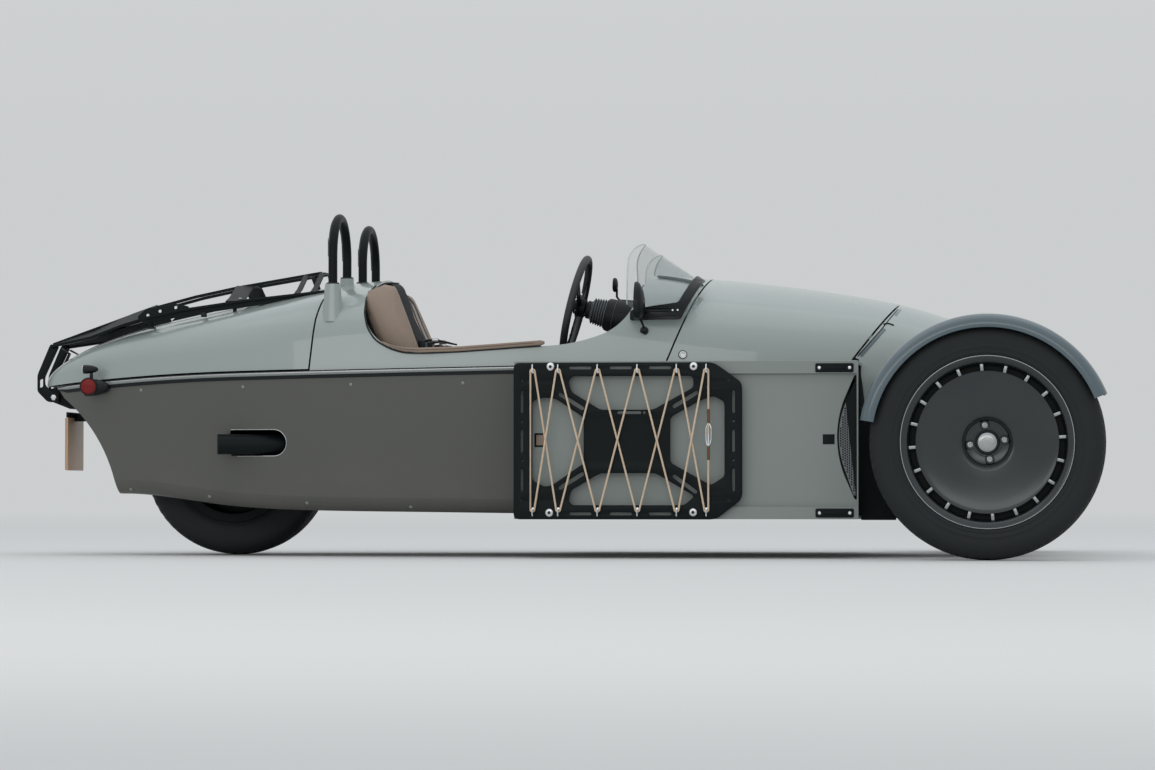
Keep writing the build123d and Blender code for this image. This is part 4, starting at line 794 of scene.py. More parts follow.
for x, z in KNOBS:
    spot = at(x, 0, z)
    carrier.lathe([(0, 660), (11, 660), (11, 675), (0, 675)], spot, 16, tone=0)
    carrier.lathe([(0, 692.6), (5.5, 692.4), (6.2, 690.4), (9, 690.6), (12.2, 688.8), (13.5, 686.5), (13.5, 682), (0, 682)],
                  spot, 32, tone=1)
    carrier.lathe([(0, 693.0), (5.4, 693.0), (5.4, 691), (0, 691)], spot, 6, tone=2)
HOOKS_X = [-1463, -1380, -1252, -1123, -996, -900]
HOOK_TOP, HOOK_LOW = 604.0, 158.0
for row, tip in ((HOOK_TOP, 1), (HOOK_LOW, -1)):
    for x in HOOKS_X:
        spot = at(x, 0, row)
        carrier.lathe([(0, 700.5), (3.0, 700), (3.6, 698.6), (2.2, 696.5), (2.2, 684), (6, 683.4), (6, 682), (0, 682)],
                      spot, 20, tone=1)
        carrier.bar([at(x, y, row + tip * up)
                     for y, up in ((683.0, 22.0), (689, 22.6), (696.5, 20.0), (699.4, 12.0), (699.6, 0.5))],
                    [1.4, 2.2, 2.6, 2.4, 2.2], 10, tone=1)
for x, z in [(-829, 574), (-829, 187), (-1497, 574), (-1500, 186)]:
    carrier.lathe([(0, 684.4), (3.2, 684.2), (4.4, 682.6), (4.4, 681), (0, 681)], at(x, 0, z), 14, tone=2)
both_sides(carrier, "side_rack", ["black_metal", "bright_strip", "tyre_rubber"], "black_metal", "chassis",
           ["side_carrier_{}"])

# %% [markdown]
# The cord is one elastic loop laced over twelve pins. It is pulled tight, so each run is
# dead straight, and it turns round each pin in a small half circle. Crossing runs can't
# share a place, so the two diagonal sets lie one cord's thickness apart.

# %% Laced cord
CORD_R = 3.3
CORD_NEAR, CORD_FAR = CARRIER_FACE + 4.3, CARRIER_FACE + 11.0
TURN_R = 6.8


def laced_path():
    """The whole loop: down one diagonal set, up the clasp's run, back by the other set."""
    first = [(k, k % 2 == 0, CORD_NEAR) for k in range(6)]
    second = [(k, k % 2 == 1, CORD_FAR) for k in range(5, -1, -1)]
    pins = [(HOOKS_X[k], HOOK_TOP if top else HOOK_LOW, top, y) for k, top, y in first + second]
    path = []
    for n, (x, z, top, y) in enumerate(pins):
        sign = 1 if top else -1
        came, goes = pins[n - 1], pins[(n + 1) % len(pins)]
        from_left = came[0] < x or (came[0] == x and goes[0] > x)
        for k in range(7):
            a = math.radians(-10 + 200 * k / 6)
            across = -math.cos(a) if from_left else math.cos(a)
            mix = y if came[3] == goes[3] else came[3] * (1 - k / 6) + goes[3] * k / 6
            path.append(at(x + TURN_R * across, mix, z + sign * (TURN_R * math.sin(a))))
    return path


lacing = Shape()
lacing.bar(laced_path(), CORD_R, 10, closed=True)
CLASP_X = HOOKS_X[5] + TURN_R + 0.4
lacing.bar([at(CLASP_X, CORD_FAR - 2.5, z) for z in (436, 481)], 4.6, 12, tone=1)
lacing.bar([at(CLASP_X, CORD_FAR - 2.5, z) for z in (317, 362)], 4.6, 12, tone=1)
for k in range(9):
    for low in (438, 319):
        lacing.lathe([(3.5, -1.2), (5.3, -0.7), (5.3, 0.7), (3.5, 1.2)], at(CLASP_X, CORD_FAR - 2.5, low + 2 + 4.8 * k), 14,
                     tone=1, axis="Z")
clasp = [at(CLASP_X + dx, CORD_FAR - 2.5, z) for dx, z in
         [(0, 436), (5, 430), (9, 418), (9, 384), (6, 370), (0, 362), (-6, 370), (-8, 384), (-8, 418), (-5, 430)]]
lacing.bar(clasp, 2.4, 10, tone=2, closed=True)
lacing.bar([at(CLASP_X, CORD_FAR - 2.5, z) for z in (362, 398)], [3.2, 4.0], 12, tone=2)
laced = Shape()
laced.join(lacing).join(lacing.mirrored())
laced.build("laced_cord", ["cord_tan", "cord_wrap", "bright_strip"], "cord_tan", "chassis", ["cord_lacings"])

# %% [markdown]
# Low on the pod's outer skin sit a few small things that tell its size: two black latch
# plates with screws, a blank tag, and the mesh that closes the bowed air intake.

# %% Pod fittings
fittings = Shape()
for z in (613.5, 147.0):
    fittings.plate([rounded([(-551, z - 14.5), (-428, z - 14.5), (-428, z + 14.5), (-551, z + 14.5)], 6)],
                   659.5, 663.5, tone=0, soften=1.0)
    fittings.plate([rounded([(-524, z - 5), (-455, z - 5), (-455, z + 5), (-524, z + 5)], 4)],
                   663, 665.5, tone=0, soften=0.8)
    for x in (-538, -441):
        fittings.lathe([(0, 666.5), (4.6, 666), (6.6, 663.4), (0, 663.4)], at(x, 0, z), 16, tone=1)
fittings.plate([rounded([(-528, 368), (-490, 368), (-490, 400), (-528, 400)], 2)], 645.6, 647.2, tone=0, soften=0.3)
fittings.plate([rounded([(-1462, 360), (-1424, 360), (-1424, 405), (-1462, 405)], 2)], 645.6, 647.2, tone=0, soften=0.3)
fittings.plate([rounded([(-1456, 366), (-1430, 366), (-1430, 399), (-1456, 399)], 1)], 646.8, 647.8, tone=2, soften=0.2)
both_sides(fittings, "pod_fittings", ["black_metal", "bright_strip", "tan_leather"], "black_metal")


# %% [markdown]
# The mouth of the pod is a lens: an upright front edge, and a rear edge that is straight at
# its ends and bowed in the middle. Woven wire would be thousands of tiny rods. A thin sheet
# with six-sided holes reads the same from any side and costs far less.

# %% The intake
MOUTH_FRONT, MOUTH_DEEP, MOUTH_LOW, MOUTH_HIGH = -419.0, -482.0, 191.0, 590.0
MOUTH_MID = (MOUTH_LOW + MOUTH_HIGH) / 2
SHOULDER = 23.0


def mouth(inset):
    """The lens in the pod's face, smaller all round by the inset."""
    front, deep = MOUTH_FRONT - inset, MOUTH_DEEP + inset
    low, high = MOUTH_LOW + 3 * inset, MOUTH_HIGH - 3 * inset
    belly = (high - low) * 0.31
    bow = (belly ** 2 + SHOULDER ** 2) / (2 * SHOULDER)
    line = [(front, low), (front, high), (front - 7, high)]
    for k in range(15):
        dz = belly * (1 - 2 * k / 14)
        line.append((deep + bow - math.sqrt(bow ** 2 - dz ** 2), MOUTH_MID + dz))
    return line + [(front - 7, low)]


def mouth_edge(z, inset):
    """The rear edge's station at a height."""
    line = mouth(inset)[2:]
    for (x0, z0), (x1, z1) in zip(line, line[1:]):
        if z1 <= z <= z0:
            return x0 + (x1 - x0) * (z - z0) / (z1 - z0)
    return MOUTH_FRONT


intake = Shape()
intake.plate([mouth(0.3), mouth(5.0)], 632, 637, tone=0, soften=1.0)
PITCH, HOLE_R = 8.0, 3.2
holes = []
for column in range(8):
    x = MOUTH_FRONT - 10 - column * PITCH * 0.87
    for row in range(50):
        z = MOUTH_LOW + 12 + PITCH * (row + 0.5 * (column % 2))
        if z < MOUTH_HIGH - 12 and x > mouth_edge(z, 5.0) + HOLE_R + 1:
            holes.append([(x + HOLE_R * math.cos(a), z + HOLE_R * math.sin(a)) for a in
                          (math.radians(60 * k + 30) for k in range(6))])
intake.plate([mouth(4.0)] + holes, 633, 634.5, tone=1, soften=0.0)
DUCT = [(-600, 137), (-414, 137), (-414, 123), (-300, 123), (-300, 470), (-414, 470), (-414, 626), (-600, 626)]
intake.plate([DUCT], 440, 445, tone=0, soften=1.0)
intake_pair = Shape().join(intake).join(intake.mirrored())
intake_pair.build("intake_guard", ["black_metal", "mesh_wire"], "black_metal", "chassis", ["intake_meshes"])
print("holes in one mesh:", len(holes))

# %% [markdown]
# Behind the seats stand two hoops of thick tube. The top half of each wears a stitched
# sleeve, and each leg comes out of a painted boss with a thin rubber ring. The boss
# hides the hole in the panel, as the real one does.

# %% Roll hoops
HOOP_X, HOOP_TOP, HOOP_R, HOOP_SPAN, SEAT_Y = -2166.0, 1149.0, 17.0, 270.0, 290.0
HOOP_BEND = HOOP_SPAN / 2
HOOP_SPRING = HOOP_TOP - HOOP_R - HOOP_BEND


def hoop_path(low):
    path = [at(HOOP_X, SEAT_Y - HOOP_BEND, z) for z in (low, (low + HOOP_SPRING) / 2)]
    for k in range(33):
        a = math.pi * k / 32
        path.append(at(HOOP_X, SEAT_Y - HOOP_BEND * math.cos(a), HOOP_SPRING + HOOP_BEND * math.sin(a)))
    return path + [at(HOOP_X, SEAT_Y + HOOP_BEND, z) for z in ((low + HOOP_SPRING) / 2, low)]


hoop = Shape().bar(hoop_path(596), HOOP_R - 2, 24)
sleeve = hoop_path(1058)
hoop.bar([sleeve[0]] + sleeve, [HOOP_R - 1] + [HOOP_R] * len(sleeve), 28, tone=1)
hoop.bar([p + Vector((-0.0163, 0, 0)) for p in sleeve], 0.9, 6, tone=2)
for y, z in ((SEAT_Y - HOOP_BEND, 937), (SEAT_Y + HOOP_BEND, 905)):
    hoop.lathe([(15, z - 3), (22, z - 3), (22, z + 2), (20, z + 5), (15, z + 5)], at(HOOP_X, y, 0), 32, tone=2, axis="Z")
hoops = Shape().join(hoop).join(hoop.mirrored())
hoops.build("hoops", ["black_metal", "grey_sleeve", "tyre_rubber"], "black_metal", "chassis", ["roll_hoops"])

# %% [markdown]
# The rack on the tail lid is laser cut and bent from plate. Its spine follows the lid's
# crest, the side rails sit lower, and the cross plates fold down from one to the other.
# A flat bar has a width and a thickness, so we sweep a small rectangle, not a circle.

# %% Flat bars
def ribbon(shape, path, widths, thick, tone=0, side=(0, 1, 0)):
    """A flat bar along a path of places. Its width runs along side, in millimetres."""
    widths = widths if isinstance(widths, (list, tuple)) else [widths] * len(path)
    rings = []
    for k, p in enumerate(path):
        ahead = (path[min(k + 1, len(path) - 1)] - path[max(k - 1, 0)]).normalized()
        across = Vector(side) - ahead * Vector(side).dot(ahead)
        across.normalize()
        up = across.cross(ahead).normalized()
        w, t, e = widths[k] / 2000, thick / 2000, min(1.2, thick * 0.3) / 1000
        section = [(w, t - e), (w - e, t), (-w + e, t), (-w, t - e), (-w, -t + e), (-w + e, -t), (w - e, -t), (w, -t + e)]
        rings.append([p + across * u + up * v for u, v in section])
    return shape.skin(rings, tone, caps=True)


# %% [markdown]
# With the flat bar as a tool the rack becomes a list: two rails, a double spine, cross
# bars, feet and the bent legs at the stern. Each foot ends on the lid, where a round nut
# holds it, because a rack that hangs in the air is the first thing the eye notices.

# %% The rack
SPINE = [(-3208, 722), (-2972, 806), (-2884, 838), (-2708, 884), (-2564, 914), (-2271, 963)]
RAIL = [(-3208, 84, 715), (-3051, 150, 742), (-2930, 206, 780), (-2826, 244, 806), (-2722, 250, 828),
        (-2482, 250, 862), (-2225, 250, 889)]


def spine_z(x):
    for (x0, z0), (x1, z1) in zip(SPINE, SPINE[1:]):
        if x <= x1:
            return z0 + (z1 - z0) * (x - x0) / (x1 - x0)
    return SPINE[-1][1]


def rail_at(x):
    for (x0, y0, z0), (x1, y1, z1) in zip(RAIL, RAIL[1:]):
        if x <= x1:
            t = (x - x0) / (x1 - x0)
            return y0 + (y1 - y0) * t, z0 + (z1 - z0) * t
    return RAIL[-1][1:]


rack = Shape()
for sign in (1, -1):
    ribbon(rack, [at(x, sign * y, z) for x, y, z in RAIL], [22, 24, 26, 30, 24, 22, 22], 9)
    ribbon(rack, [at(x, sign * min(58, rail_at(x)[0] - 10), z) for x, z in SPINE], 20, 9)
    ribbon(rack, [at(x, sign * y, z - 12) for x, y, z in RAIL[3:]], 5, 18)
    for x, width in ((-2535, 62), (-2322, 19), (-2266, 19)):
        y, z = rail_at(x)
        top = spine_z(x)
        ribbon(rack, [at(x, 0, top), at(x, sign * 70, top - 1), at(x, sign * (y - 60), z + (top - z) * 0.28),
                      at(x, sign * y, z + 3)], width, 5, side=(1, 0, 0))
    # the long plain plates from the knuckle back to the tail
    deck = [(-3200, 26), (-3060, 90), (-2930, 140), (-2845, 170)]
    ribbon(rack, [at(x, sign * (rail_at(x)[0] - w / 2), rail_at(x)[1] + (spine_z(x) - rail_at(x)[1]) * 0.42)
                  for x, w in deck],
           [w for x, w in deck], 4, side=(0, 1, -sign * 0.42))
    # knuckle plates with their bolts
    y, z = rail_at(-2785)
    rack.plate([rounded([(-2850, 786), (-2700, 812), (-2690, 842), (-2740, 852), (-2838, 836), (-2872, 806)], 10)],
               sign * y - 5, sign * y + 5, soften=1.0)
    for x, dz in ((-2832, 812), (-2790, 826), (-2736, 838)):
        rack.lathe([(0, 9 * sign), (5, 9 * sign), (6.5, 6.5 * sign), (6.5, 4 * sign), (0, 4 * sign)],
                   at(x, sign * y, dz), 12, tone=1)
    for x in (-2640, -2440, -2340):
        y, z = rail_at(x)
        rack.box((x - 9, sign * y - 9, z - 34), (x + 9, sign * y + 9, z - 18), tone=2, soften=2)
    # feet down to the lid
    for x, drop in ((-2826, 50), (-2535, 43), (-2266, 38)):
        y, z = rail_at(x)
        drop -= 14 if x < -2800 else 0
        y -= 30 if x < -2800 else 6
        rack.bar([at(x, sign * y, z - 4), at(x, sign * y, z - drop)], 6.5, 12)
        rack.lathe([(0, 0), (13, 0), (13, 4), (7, 7), (0, 7)], at(x, sign * y, z - drop - 2), 16, tone=2, axis="Z")
    # slots and clips that catch the light
    for x in (-2548, -2522):
        y, z = rail_at(x)
        rack.box((x - 5, sign * (y - 38) - 8, z + 12), (x + 5, sign * (y - 38) + 8, z + 15), tone=1, soften=1)
    # bent legs down to the pivot
    leg = rounded([(-3214, 724), (-3259.8, 617), (-3259.8, 560), (-3224, 524), (-3184, 521), (-3183, 553), (-3213, 561),
                   (-3234, 583), (-3234, 609), (-3184, 716)], 9)
    low, high = sorted((sign * 70, sign * 82))
    rack.plate([leg, rounded([(-3252, 600), (-3252, 572), (-3240, 576), (-3240, 604)], 4)], low, high, soften=1.5)
    strut = [at(-3180, sign * 66, 706), at(-3150, sign * 66, 690), at(-3168, sign * 66, 650)]
    ribbon(rack, strut, 26, 5)
rack.lathe([(0, -88), (7.9, -88), (7.9, 88), (0, 88)], at(-3200, 0, 540), 24, tone=0)
for sign in (1, -1):
    rack.lathe([(0, 92 * sign), (9, 91.5 * sign), (12, 88 * sign), (12, 83 * sign), (0, 83 * sign)],
               at(-3200, 0, 540), 6, tone=1)
rack.build("tail_rack", ["black_metal", "bright_strip", "tyre_rubber"], "black_metal", "lid", ["rear_rack"], sharp=25)

# %% [markdown]
# A tail lamp has a red plastic lens with rings inside, a bright bezel, and a drop-shaped
# shell cast with its arm. The small indicator above it is the same idea in amber.

# %% Tail lamps
lamps = Shape()
LAMP_Y = 246.0
for y, z, r, rear, front, lens_tone in ((LAMP_Y, 569, 30.0, -3052, -2962, 1), (LAMP_Y + 6, 630, 15.0, -3056, -3001, 3)):
    spot = at(0, y, z)
    length = front - rear
    shell = [(r * 0.80, rear + 3), (r * 0.86, rear), (r * 0.97, rear + 1), (r, rear + 4), (r, rear + 10)]
    for k in range(1, 15):
        t = k / 14
        shell.append((r * math.sqrt(max(0.0, 1 - t ** 1.8)), rear + 10 + (length - 12) * t))
    shell.append((0, front - 2))
    lamps.lathe(shell, spot, 48, tone=0, axis="X", closed=False)
    lens = [(r * 0.81, rear + 4)]
    for k in range(13):
        t = k / 12
        wave = 0.5 if k % 2 else 0.0
        lens.append((r * 0.81 * (1 - t), rear + 1.6 - 4.2 * (1 - (1 - t) ** 2) + wave + 1.5))
    lamps.lathe(lens, spot, 48, tone=lens_tone, axis="X", closed=False)
    lamps.lathe([(r * 0.80, rear + 1), (r * 0.84, rear - 1.4), (r * 0.90, rear - 1.6), (r * 0.93, rear + 1)],
                spot, 48, tone=2, axis="X")
side_lens = at(-3032, 0, 571)
lamps.lathe([(0, 240), (28, 244), (30, 256), (30.5, 276), (29.5, 279), (26.5, 279), (26.5, 276)], side_lens, 48, tone=0)
lamps.lathe([(26.5, 277), (24, 279.6), (17, 281.6), (8, 282.6), (0, 282.8)], side_lens, 48, tone=1, closed=False)
lamps.bar([at(-3022, 196, 556), at(-3022, LAMP_Y - 12, 558)], [10, 8], 16, tone=0)
lamps.bar([at(-3028, LAMP_Y + 4, 592), at(-3028, LAMP_Y + 5, 620)], [7, 5], 12, tone=0)
both = Shape().join(lamps).join(lamps.mirrored())
both.build("tail_lamp_set", ["lamp_shell", "red_lens", "bright_strip", "amber_lens"], "lamp_shell", "chassis",
           ["tail_lamps"])

# %% [markdown]
# The number plate hangs under the stern on a short arm. It is a thin sheet in a raised
# frame, and its face stays blank. Soft boxes are enough here, since every edge is straight.

# %% Number plate, left blank
plate = Shape()
plate.box((-3152, -114, 290), (-3149, 114, 468), soften=0.8)
plate.box((-3149.4, -112, 288), (-3144, 112, 470), tone=0, soften=1.5)
plate.box((-3150, -112, 469), (-3143, 112, 488), tone=1, soften=1.5)
plate.box((-3148, -20, 458), (-3046, 20, 484), tone=1, soften=3)
for y in (-80, 80):
    plate.lathe([(0, -3154), (3, -3153.8), (4.5, -3152), (0, -3151)], at(0, y, 440), 12, tone=2, axis="X")
frame_bars = [((-3152.6, -114, 290), (-3151, 114, 294)), ((-3152.6, -114, 464), (-3151, 114, 468)),
              ((-3152.6, -114, 290), (-3151, -110, 468)), ((-3152.6, 110, 290), (-3151, 114, 468))]
for low, high in frame_bars:
    plate.box(low, high, tone=1, soften=0.5)
plate.build("blank_plate", ["plate_back", "black_metal", "bright_strip"], "plate_back", "chassis", ["plate_holder"])

# %% [markdown]
# Each exhaust is one pipe that bends out of the body and ends in a rolled lip. We sweep a
# circle along the bend, then line the mouth with a thinner ring that runs inwards, so that
# it looks like sheet metal and not like a solid rod.

# %% Exhausts, rolled at the mouth
pipes = Shape()
tail, knee, root = (-2552, 438, 373), (-2384, 394, 373), (-2200, 310, 373)
corner = [at(*tail), at(*tail).lerp(at(*knee), 0.7)]
for t in (0.25, 0.5, 0.75, 1.0):
    a, b, c = at(*tail).lerp(at(*knee), 0.7), at(*knee), at(*knee).lerp(at(*root), 0.3)
    corner.append(a * (1 - t) ** 2 + b * 2 * t * (1 - t) + c * t ** 2)
corner.append(at(*root))
mouth = (corner[0] - corner[1]).normalized()
pipes.bar(corner, 33.6, 40)
lip = [corner[0] + mouth * d for d in (-0.001, 0.0, -0.004, -0.09)]
rings = [ring_points(p, *[v for v in frames_along([corner[0], corner[1]])[0][1:]], r / 1000, 40)
         for p, r in zip(lip, (34, 32.5, 30.5, 29))]
pipes.skin(rings, tone=1)
back_wall = ring_points(lip[3], *frames_along([corner[0], corner[1]])[0][1:], 0.029, 40)
pipes.add(back_wall, [tuple(range(40))], tone=2)
pair = Shape().join(pipes).join(pipes.mirrored())
pair.build("tail_pipes", ["black_metal", "exhaust_steel", "tyre_rubber"], "black_metal", "chassis", ["exhausts"])

# %% [markdown]
# A seat is leather over foam. We lay each cushion out as a soft bar that follows the
# sitter's back and thighs, then let a cloth solver press it up from inside. The sewn
# edges hold, so the panels swell between them as real upholstery does.

# %% Padding
def smooth_path(points, count, passes=2):
    """A path with evenly spaced points, its corners eased."""
    lengths = [0.0]
    for a, b in zip(points, points[1:]):
        lengths.append(lengths[-1] + (b - a).length)
    line = []
    for k in range(count):
        want = lengths[-1] * k / (count - 1)
        i = max(j for j in range(len(points) - 1) if lengths[j] <= want + 1e-9)
        line.append(points[i].lerp(points[i + 1], (want - lengths[i]) / (lengths[i + 1] - lengths[i])))
    for _ in range(passes):
        line = [line[0]] + [(a + b * 2 + c) / 4 for a, b, c in zip(line, line[1:], line[2:])] + [line[-1]]
    return line


AROUND = 36


def pad(points, width, thick, count=40, power=4.5, ease=0.09, passes=6):
    """Rings of a soft bar: points follow its middle, and its width lies across the car."""
    line = smooth_path(points, count, passes)
    rings = []
    for k, p in enumerate(line):
        ahead = (line[min(k + 1, count - 1)] - line[max(k - 1, 0)]).normalized()
        out = ahead.cross(Vector((0, 1, 0))).normalized()
        share = min(k, count - 1 - k) / (count - 1)
        grow = 1.0 if share >= ease else max(0.06, (1 - (1 - share / ease) ** power)) ** (1 / power)
        ring = []
        for j in range(AROUND):
            a = 2 * math.pi * j / AROUND
            u = math.copysign(abs(math.cos(a)) ** (2 / power), math.cos(a)) * width / 2000
            v = math.copysign(abs(math.sin(a)) ** (2 / power), math.sin(a)) * thick / 2000
            ring.append(p + Vector((0, 1, 0)) * u * (0.35 + 0.65 * grow) + out * v * grow)
        rings.append(ring)
    return rings


def swell(rings, cap, pressure=4.0):
    """Blows the pad up as cloth from inside, and moves no point further than the cap."""
    shape = Shape().skin(rings, caps=True)
    mesh = bpy.data.meshes.new("swelling")
    mesh.from_pydata(shape.points, [], shape.faces)
    cover = bpy.data.objects.new("swelling", mesh)
    bpy.context.scene.collection.objects.link(cover)
    cloth = cover.modifiers.new("cloth", "CLOTH")
    cloth.settings.quality = 5
    cloth.settings.mass = 0.3
    cloth.settings.use_pressure = True
    cloth.settings.uniform_pressure_force = pressure
    cloth.settings.effector_weights.gravity = 0.0
    cloth.collision_settings.use_collision = False
    cloth.collision_settings.use_self_collision = False
    for number in range(1, 21):
        bpy.context.scene.frame_set(number)
    view = bpy.context.evaluated_depsgraph_get()
    swollen = cover.evaluated_get(view).to_mesh()
    found = []
    for before, after in zip(shape.points, swollen.vertices):
        step = after.co - before
        found.append(before + step * min(1.0, cap / 1000 / max(step.length, 1e-9)))
    bpy.context.scene.frame_set(1)
    bpy.data.objects.remove(cover)
    bpy.data.meshes.remove(mesh)
    return [found[k:k + AROUND] for k in range(0, len(found), AROUND)]


# %% [markdown]
# One seat is six pads: a middle and two side rolls for the back, and the same for the
# base. They stand in a plain shell. A line of piping runs along the edges of the side
# rolls, where the panels are sewn, and the other seat is the mirror image.

# %% Seats
from mathutils.bvhtree import BVHTree

SEAT_MID = 240.0
back_line = [(-2036, 900), (-1994, 790), (-1946, 680), (-1912, 556), (-1894, 430), (-1886, 372)]
base_line = [(-1880, 268), (-1800, 258), (-1650, 262), (-1500, 274), (-1395, 280)]
PADS = [(back_line, 0, 232, 122, 0), (back_line, -144, 76, 116, -6), (back_line, 150, 88, 120, 5),
        (base_line, 0, 226, 108, 0), (base_line, -150, 70, 128, 8), (base_line, 150, 70, 128, 8)]
seat = Shape()
for line, aside, width, thick, lift in PADS:
    upright = line is back_line
    points = [at(x + (lift if upright else 0), SEAT_MID + aside, z + (0 if upright else lift)) for x, z in line]
    rings = swell(pad(points, width, thick), 9.0)
    if upright and aside:
        rings = [[p - Vector((0, math.copysign(0.042, aside) * max(0.0, min(1.0, (p.z - 0.70) / 0.2)) ** 2, 0)) for p in ring]
                 for ring in rings]
    if upright and aside > 0:
        rings = [[Vector((max(p.x, AXLE - 2.056), p.y, p.z)) if p.z > 0.80 else p for p in ring] for ring in rings]
    seat.skin(rings, tone=0, caps=True)
    if aside:
        corner = 5 if aside > 0 else 13
        for j in (corner, AROUND - corner)[1 if upright and aside > 0 else 0:]:
            seat.bar([ring[j] for ring in rings[3:-3]], 2.0, 6, tone=1)
shell_side = rounded([(-1372, 212), (-1372, 252), (-1840, 232), (-1900, 330), (-1984, 640), (-2040, 820), (-2066, 816),
                      (-2086, 720), (-2096, 560), (-1962, 212)], 26)
for aside in (-172, 160):
    seat.plate([shell_side], SEAT_MID + aside, SEAT_MID + aside + 12, tone=2, soften=3)
seat.box((-1960, SEAT_MID - 165, 196), (-1385, SEAT_MID + 165, 214), tone=2, soften=4)
spine = [at(-2094, SEAT_MID, 560), at(-2084, SEAT_MID, 720), at(-2066, SEAT_MID, 812)]
ribbon(seat, spine, 318, 8, tone=2)
for y in (SEAT_MID - 125, SEAT_MID + 125):
    seat.box((-1900, y - 14, 168), (-1420, y + 14, 194), tone=3, soften=2)


OPENING = [(700, -1990), (715, -2012), (757, -2040), (806, -2050), (858, -2052), (904, -2043), (990, -2036)]


def opening_at(z):
    """The station of the opening's rear edge at a height in metres."""
    for (z0, x0), (z1, x1) in zip(OPENING, OPENING[1:]):
        if z * 1000 <= z1:
            return AXLE + (x0 + (x1 - x0) * max(0.0, z * 1000 - z0) / (z1 - z0)) / 1000
    return AXLE + OPENING[-1][1] / 1000


def leaned_back(shape):
    """The passenger's side stands a little further back than the driver's, inside the panel's edge."""
    for k, p in enumerate(shape.points):
        x = p.x - 0.055 * max(0.0, min(1.0, (p.z - 0.36) / 0.4))
        if p.y > SEAT_MID / 1000 + 0.055 and p.z > 0.70:
            x = max(x, opening_at(p.z))
        shape.points[k] = Vector((x, p.y, p.z))
    return shape


seat_skin = BVHTree.FromPolygons(seat.points, seat.faces)
for side, sign in SIDES:
    made = leaned_back(Shape().join(seat)) if sign > 0 else seat.mirrored()
    cushion = made.build("bucket_seat_" + side, ["tan_leather", "leather_piping", "dark_trim", "black_metal"],
                         "tan_leather", "chassis", ["seat_" + side], sharp=50)

# %% [markdown]
# The harness is woven webbing: flat, dark, and heavy enough to hang straight. Two straps
# come over each seat's top edge and end in a folded loop with its steel adjuster.

# %% Harness straps
def straps(loose):
    """Both straps of one seat; a loose outer strap turns its face outwards."""
    harness = Shape()
    for aside, lift, twist in ((-74, 0.002, 0.0), (82, 0.0135, 0.40) if loose else (78, 0.002, 0.0)):
        middle = (SEAT_MID + aside) / 1000
        over = [(-2052, 868), (-2040, 890), (-2020, 903), (-1996, 903), (-1964, 856), (-1922, 766),
                (-1884, 702), (-1872, 676), (-1868, 656)]
        line = smooth_path([at(x, SEAT_MID + aside, z) for x, z in over], 44, 3)
        for k, p in enumerate(line):
            hit, normal, _, _ = seat_skin.ray_cast(p + Vector((0.12, 0, 0.05)), Vector((-0.12, 0, -0.05)).normalized(), 0.2)
            if hit and p.z > 0.66:
                line[k] = hit + normal * lift
        line = smooth_path(line, 44, 4)
        first = len(harness.points)
        ribbon(harness, line, 46, 2.8)
        harness.points[first:] = [p - Vector((twist * (p.y - middle), 0, 0)) for p in harness.points[first:]]
        harness.box((-1890, SEAT_MID + aside - 29, 686), (-1868, SEAT_MID + aside + 29, 720), tone=1, soften=3)
        harness.box((-1876, SEAT_MID + aside - 22, 656), (-1856, SEAT_MID + aside + 22, 682), tone=1, soften=2)
        harness.bar([at(-1878, SEAT_MID + aside, 718), at(-1840, SEAT_MID + aside + 4, 722),
                     at(-1786, SEAT_MID + aside + 10, 711)],
                    [5, 4, 3], 10, tone=1)
        harness.box((-1848, SEAT_MID + aside - 12, 714), (-1826, SEAT_MID + aside + 12, 727), tone=3, soften=2)
    return harness


pair = leaned_back(straps(False)).join(straps(True).mirrored())
pair.build("harness", ["webbing", "dark_trim", "bright_strip", "cap_metal"], "dark_trim", "chassis")

# %% [markdown]
# The cockpit's sides end in a padded roll, cut off square at the front. A thin dark welt
# follows the rest of the opening. To lie on the panel it has to know where the panel is,
# so we shoot a ray at the body from the side and take the place that it hits.

# %% Finding the body's surface


def surface_of(*names):
    """One search tree over the meshes of some CAD nodes."""
    points, faces = [], []
    for name in names:
        piece = frame["nodes"][name]
        start = len(points)
        points += [piece.matrix_world @ v.co for v in piece.data.vertices]
        faces += [[start + i for i in p.vertices] for p in piece.data.polygons]
    return BVHTree.FromPolygons(points, faces)


body_skin = surface_of("cockpit_surround", "bonnet", "tail_lid", "nose_cowl")
tub_skin = surface_of("tub")


def on_side(tree, x, z, lift=0.0, side=-1):
    """The place on a skin seen from the side at a station and height, lifted along its normal."""
    place, normal, _, _ = tree.ray_cast(at(x, side * 1500, z), Vector((0, -side, 0)))
    return place + normal * (lift / 1000), normal


# %% [markdown]
# The padded roll is a soft bar like the seats', drawn out thin at its rear end. The welt is a plain round cord of
# rubber. It lies on the panel round the seat, and then runs on as a dark line along the underside of the roll.

# %% Coamings and welt
def sill(x, z):
    """How much further in than at the seat's front the opening's edge lies."""
    return (on_side(body_skin, x, z - 14)[0].y - on_side(body_skin, -1884, 663)[0].y) * 1000


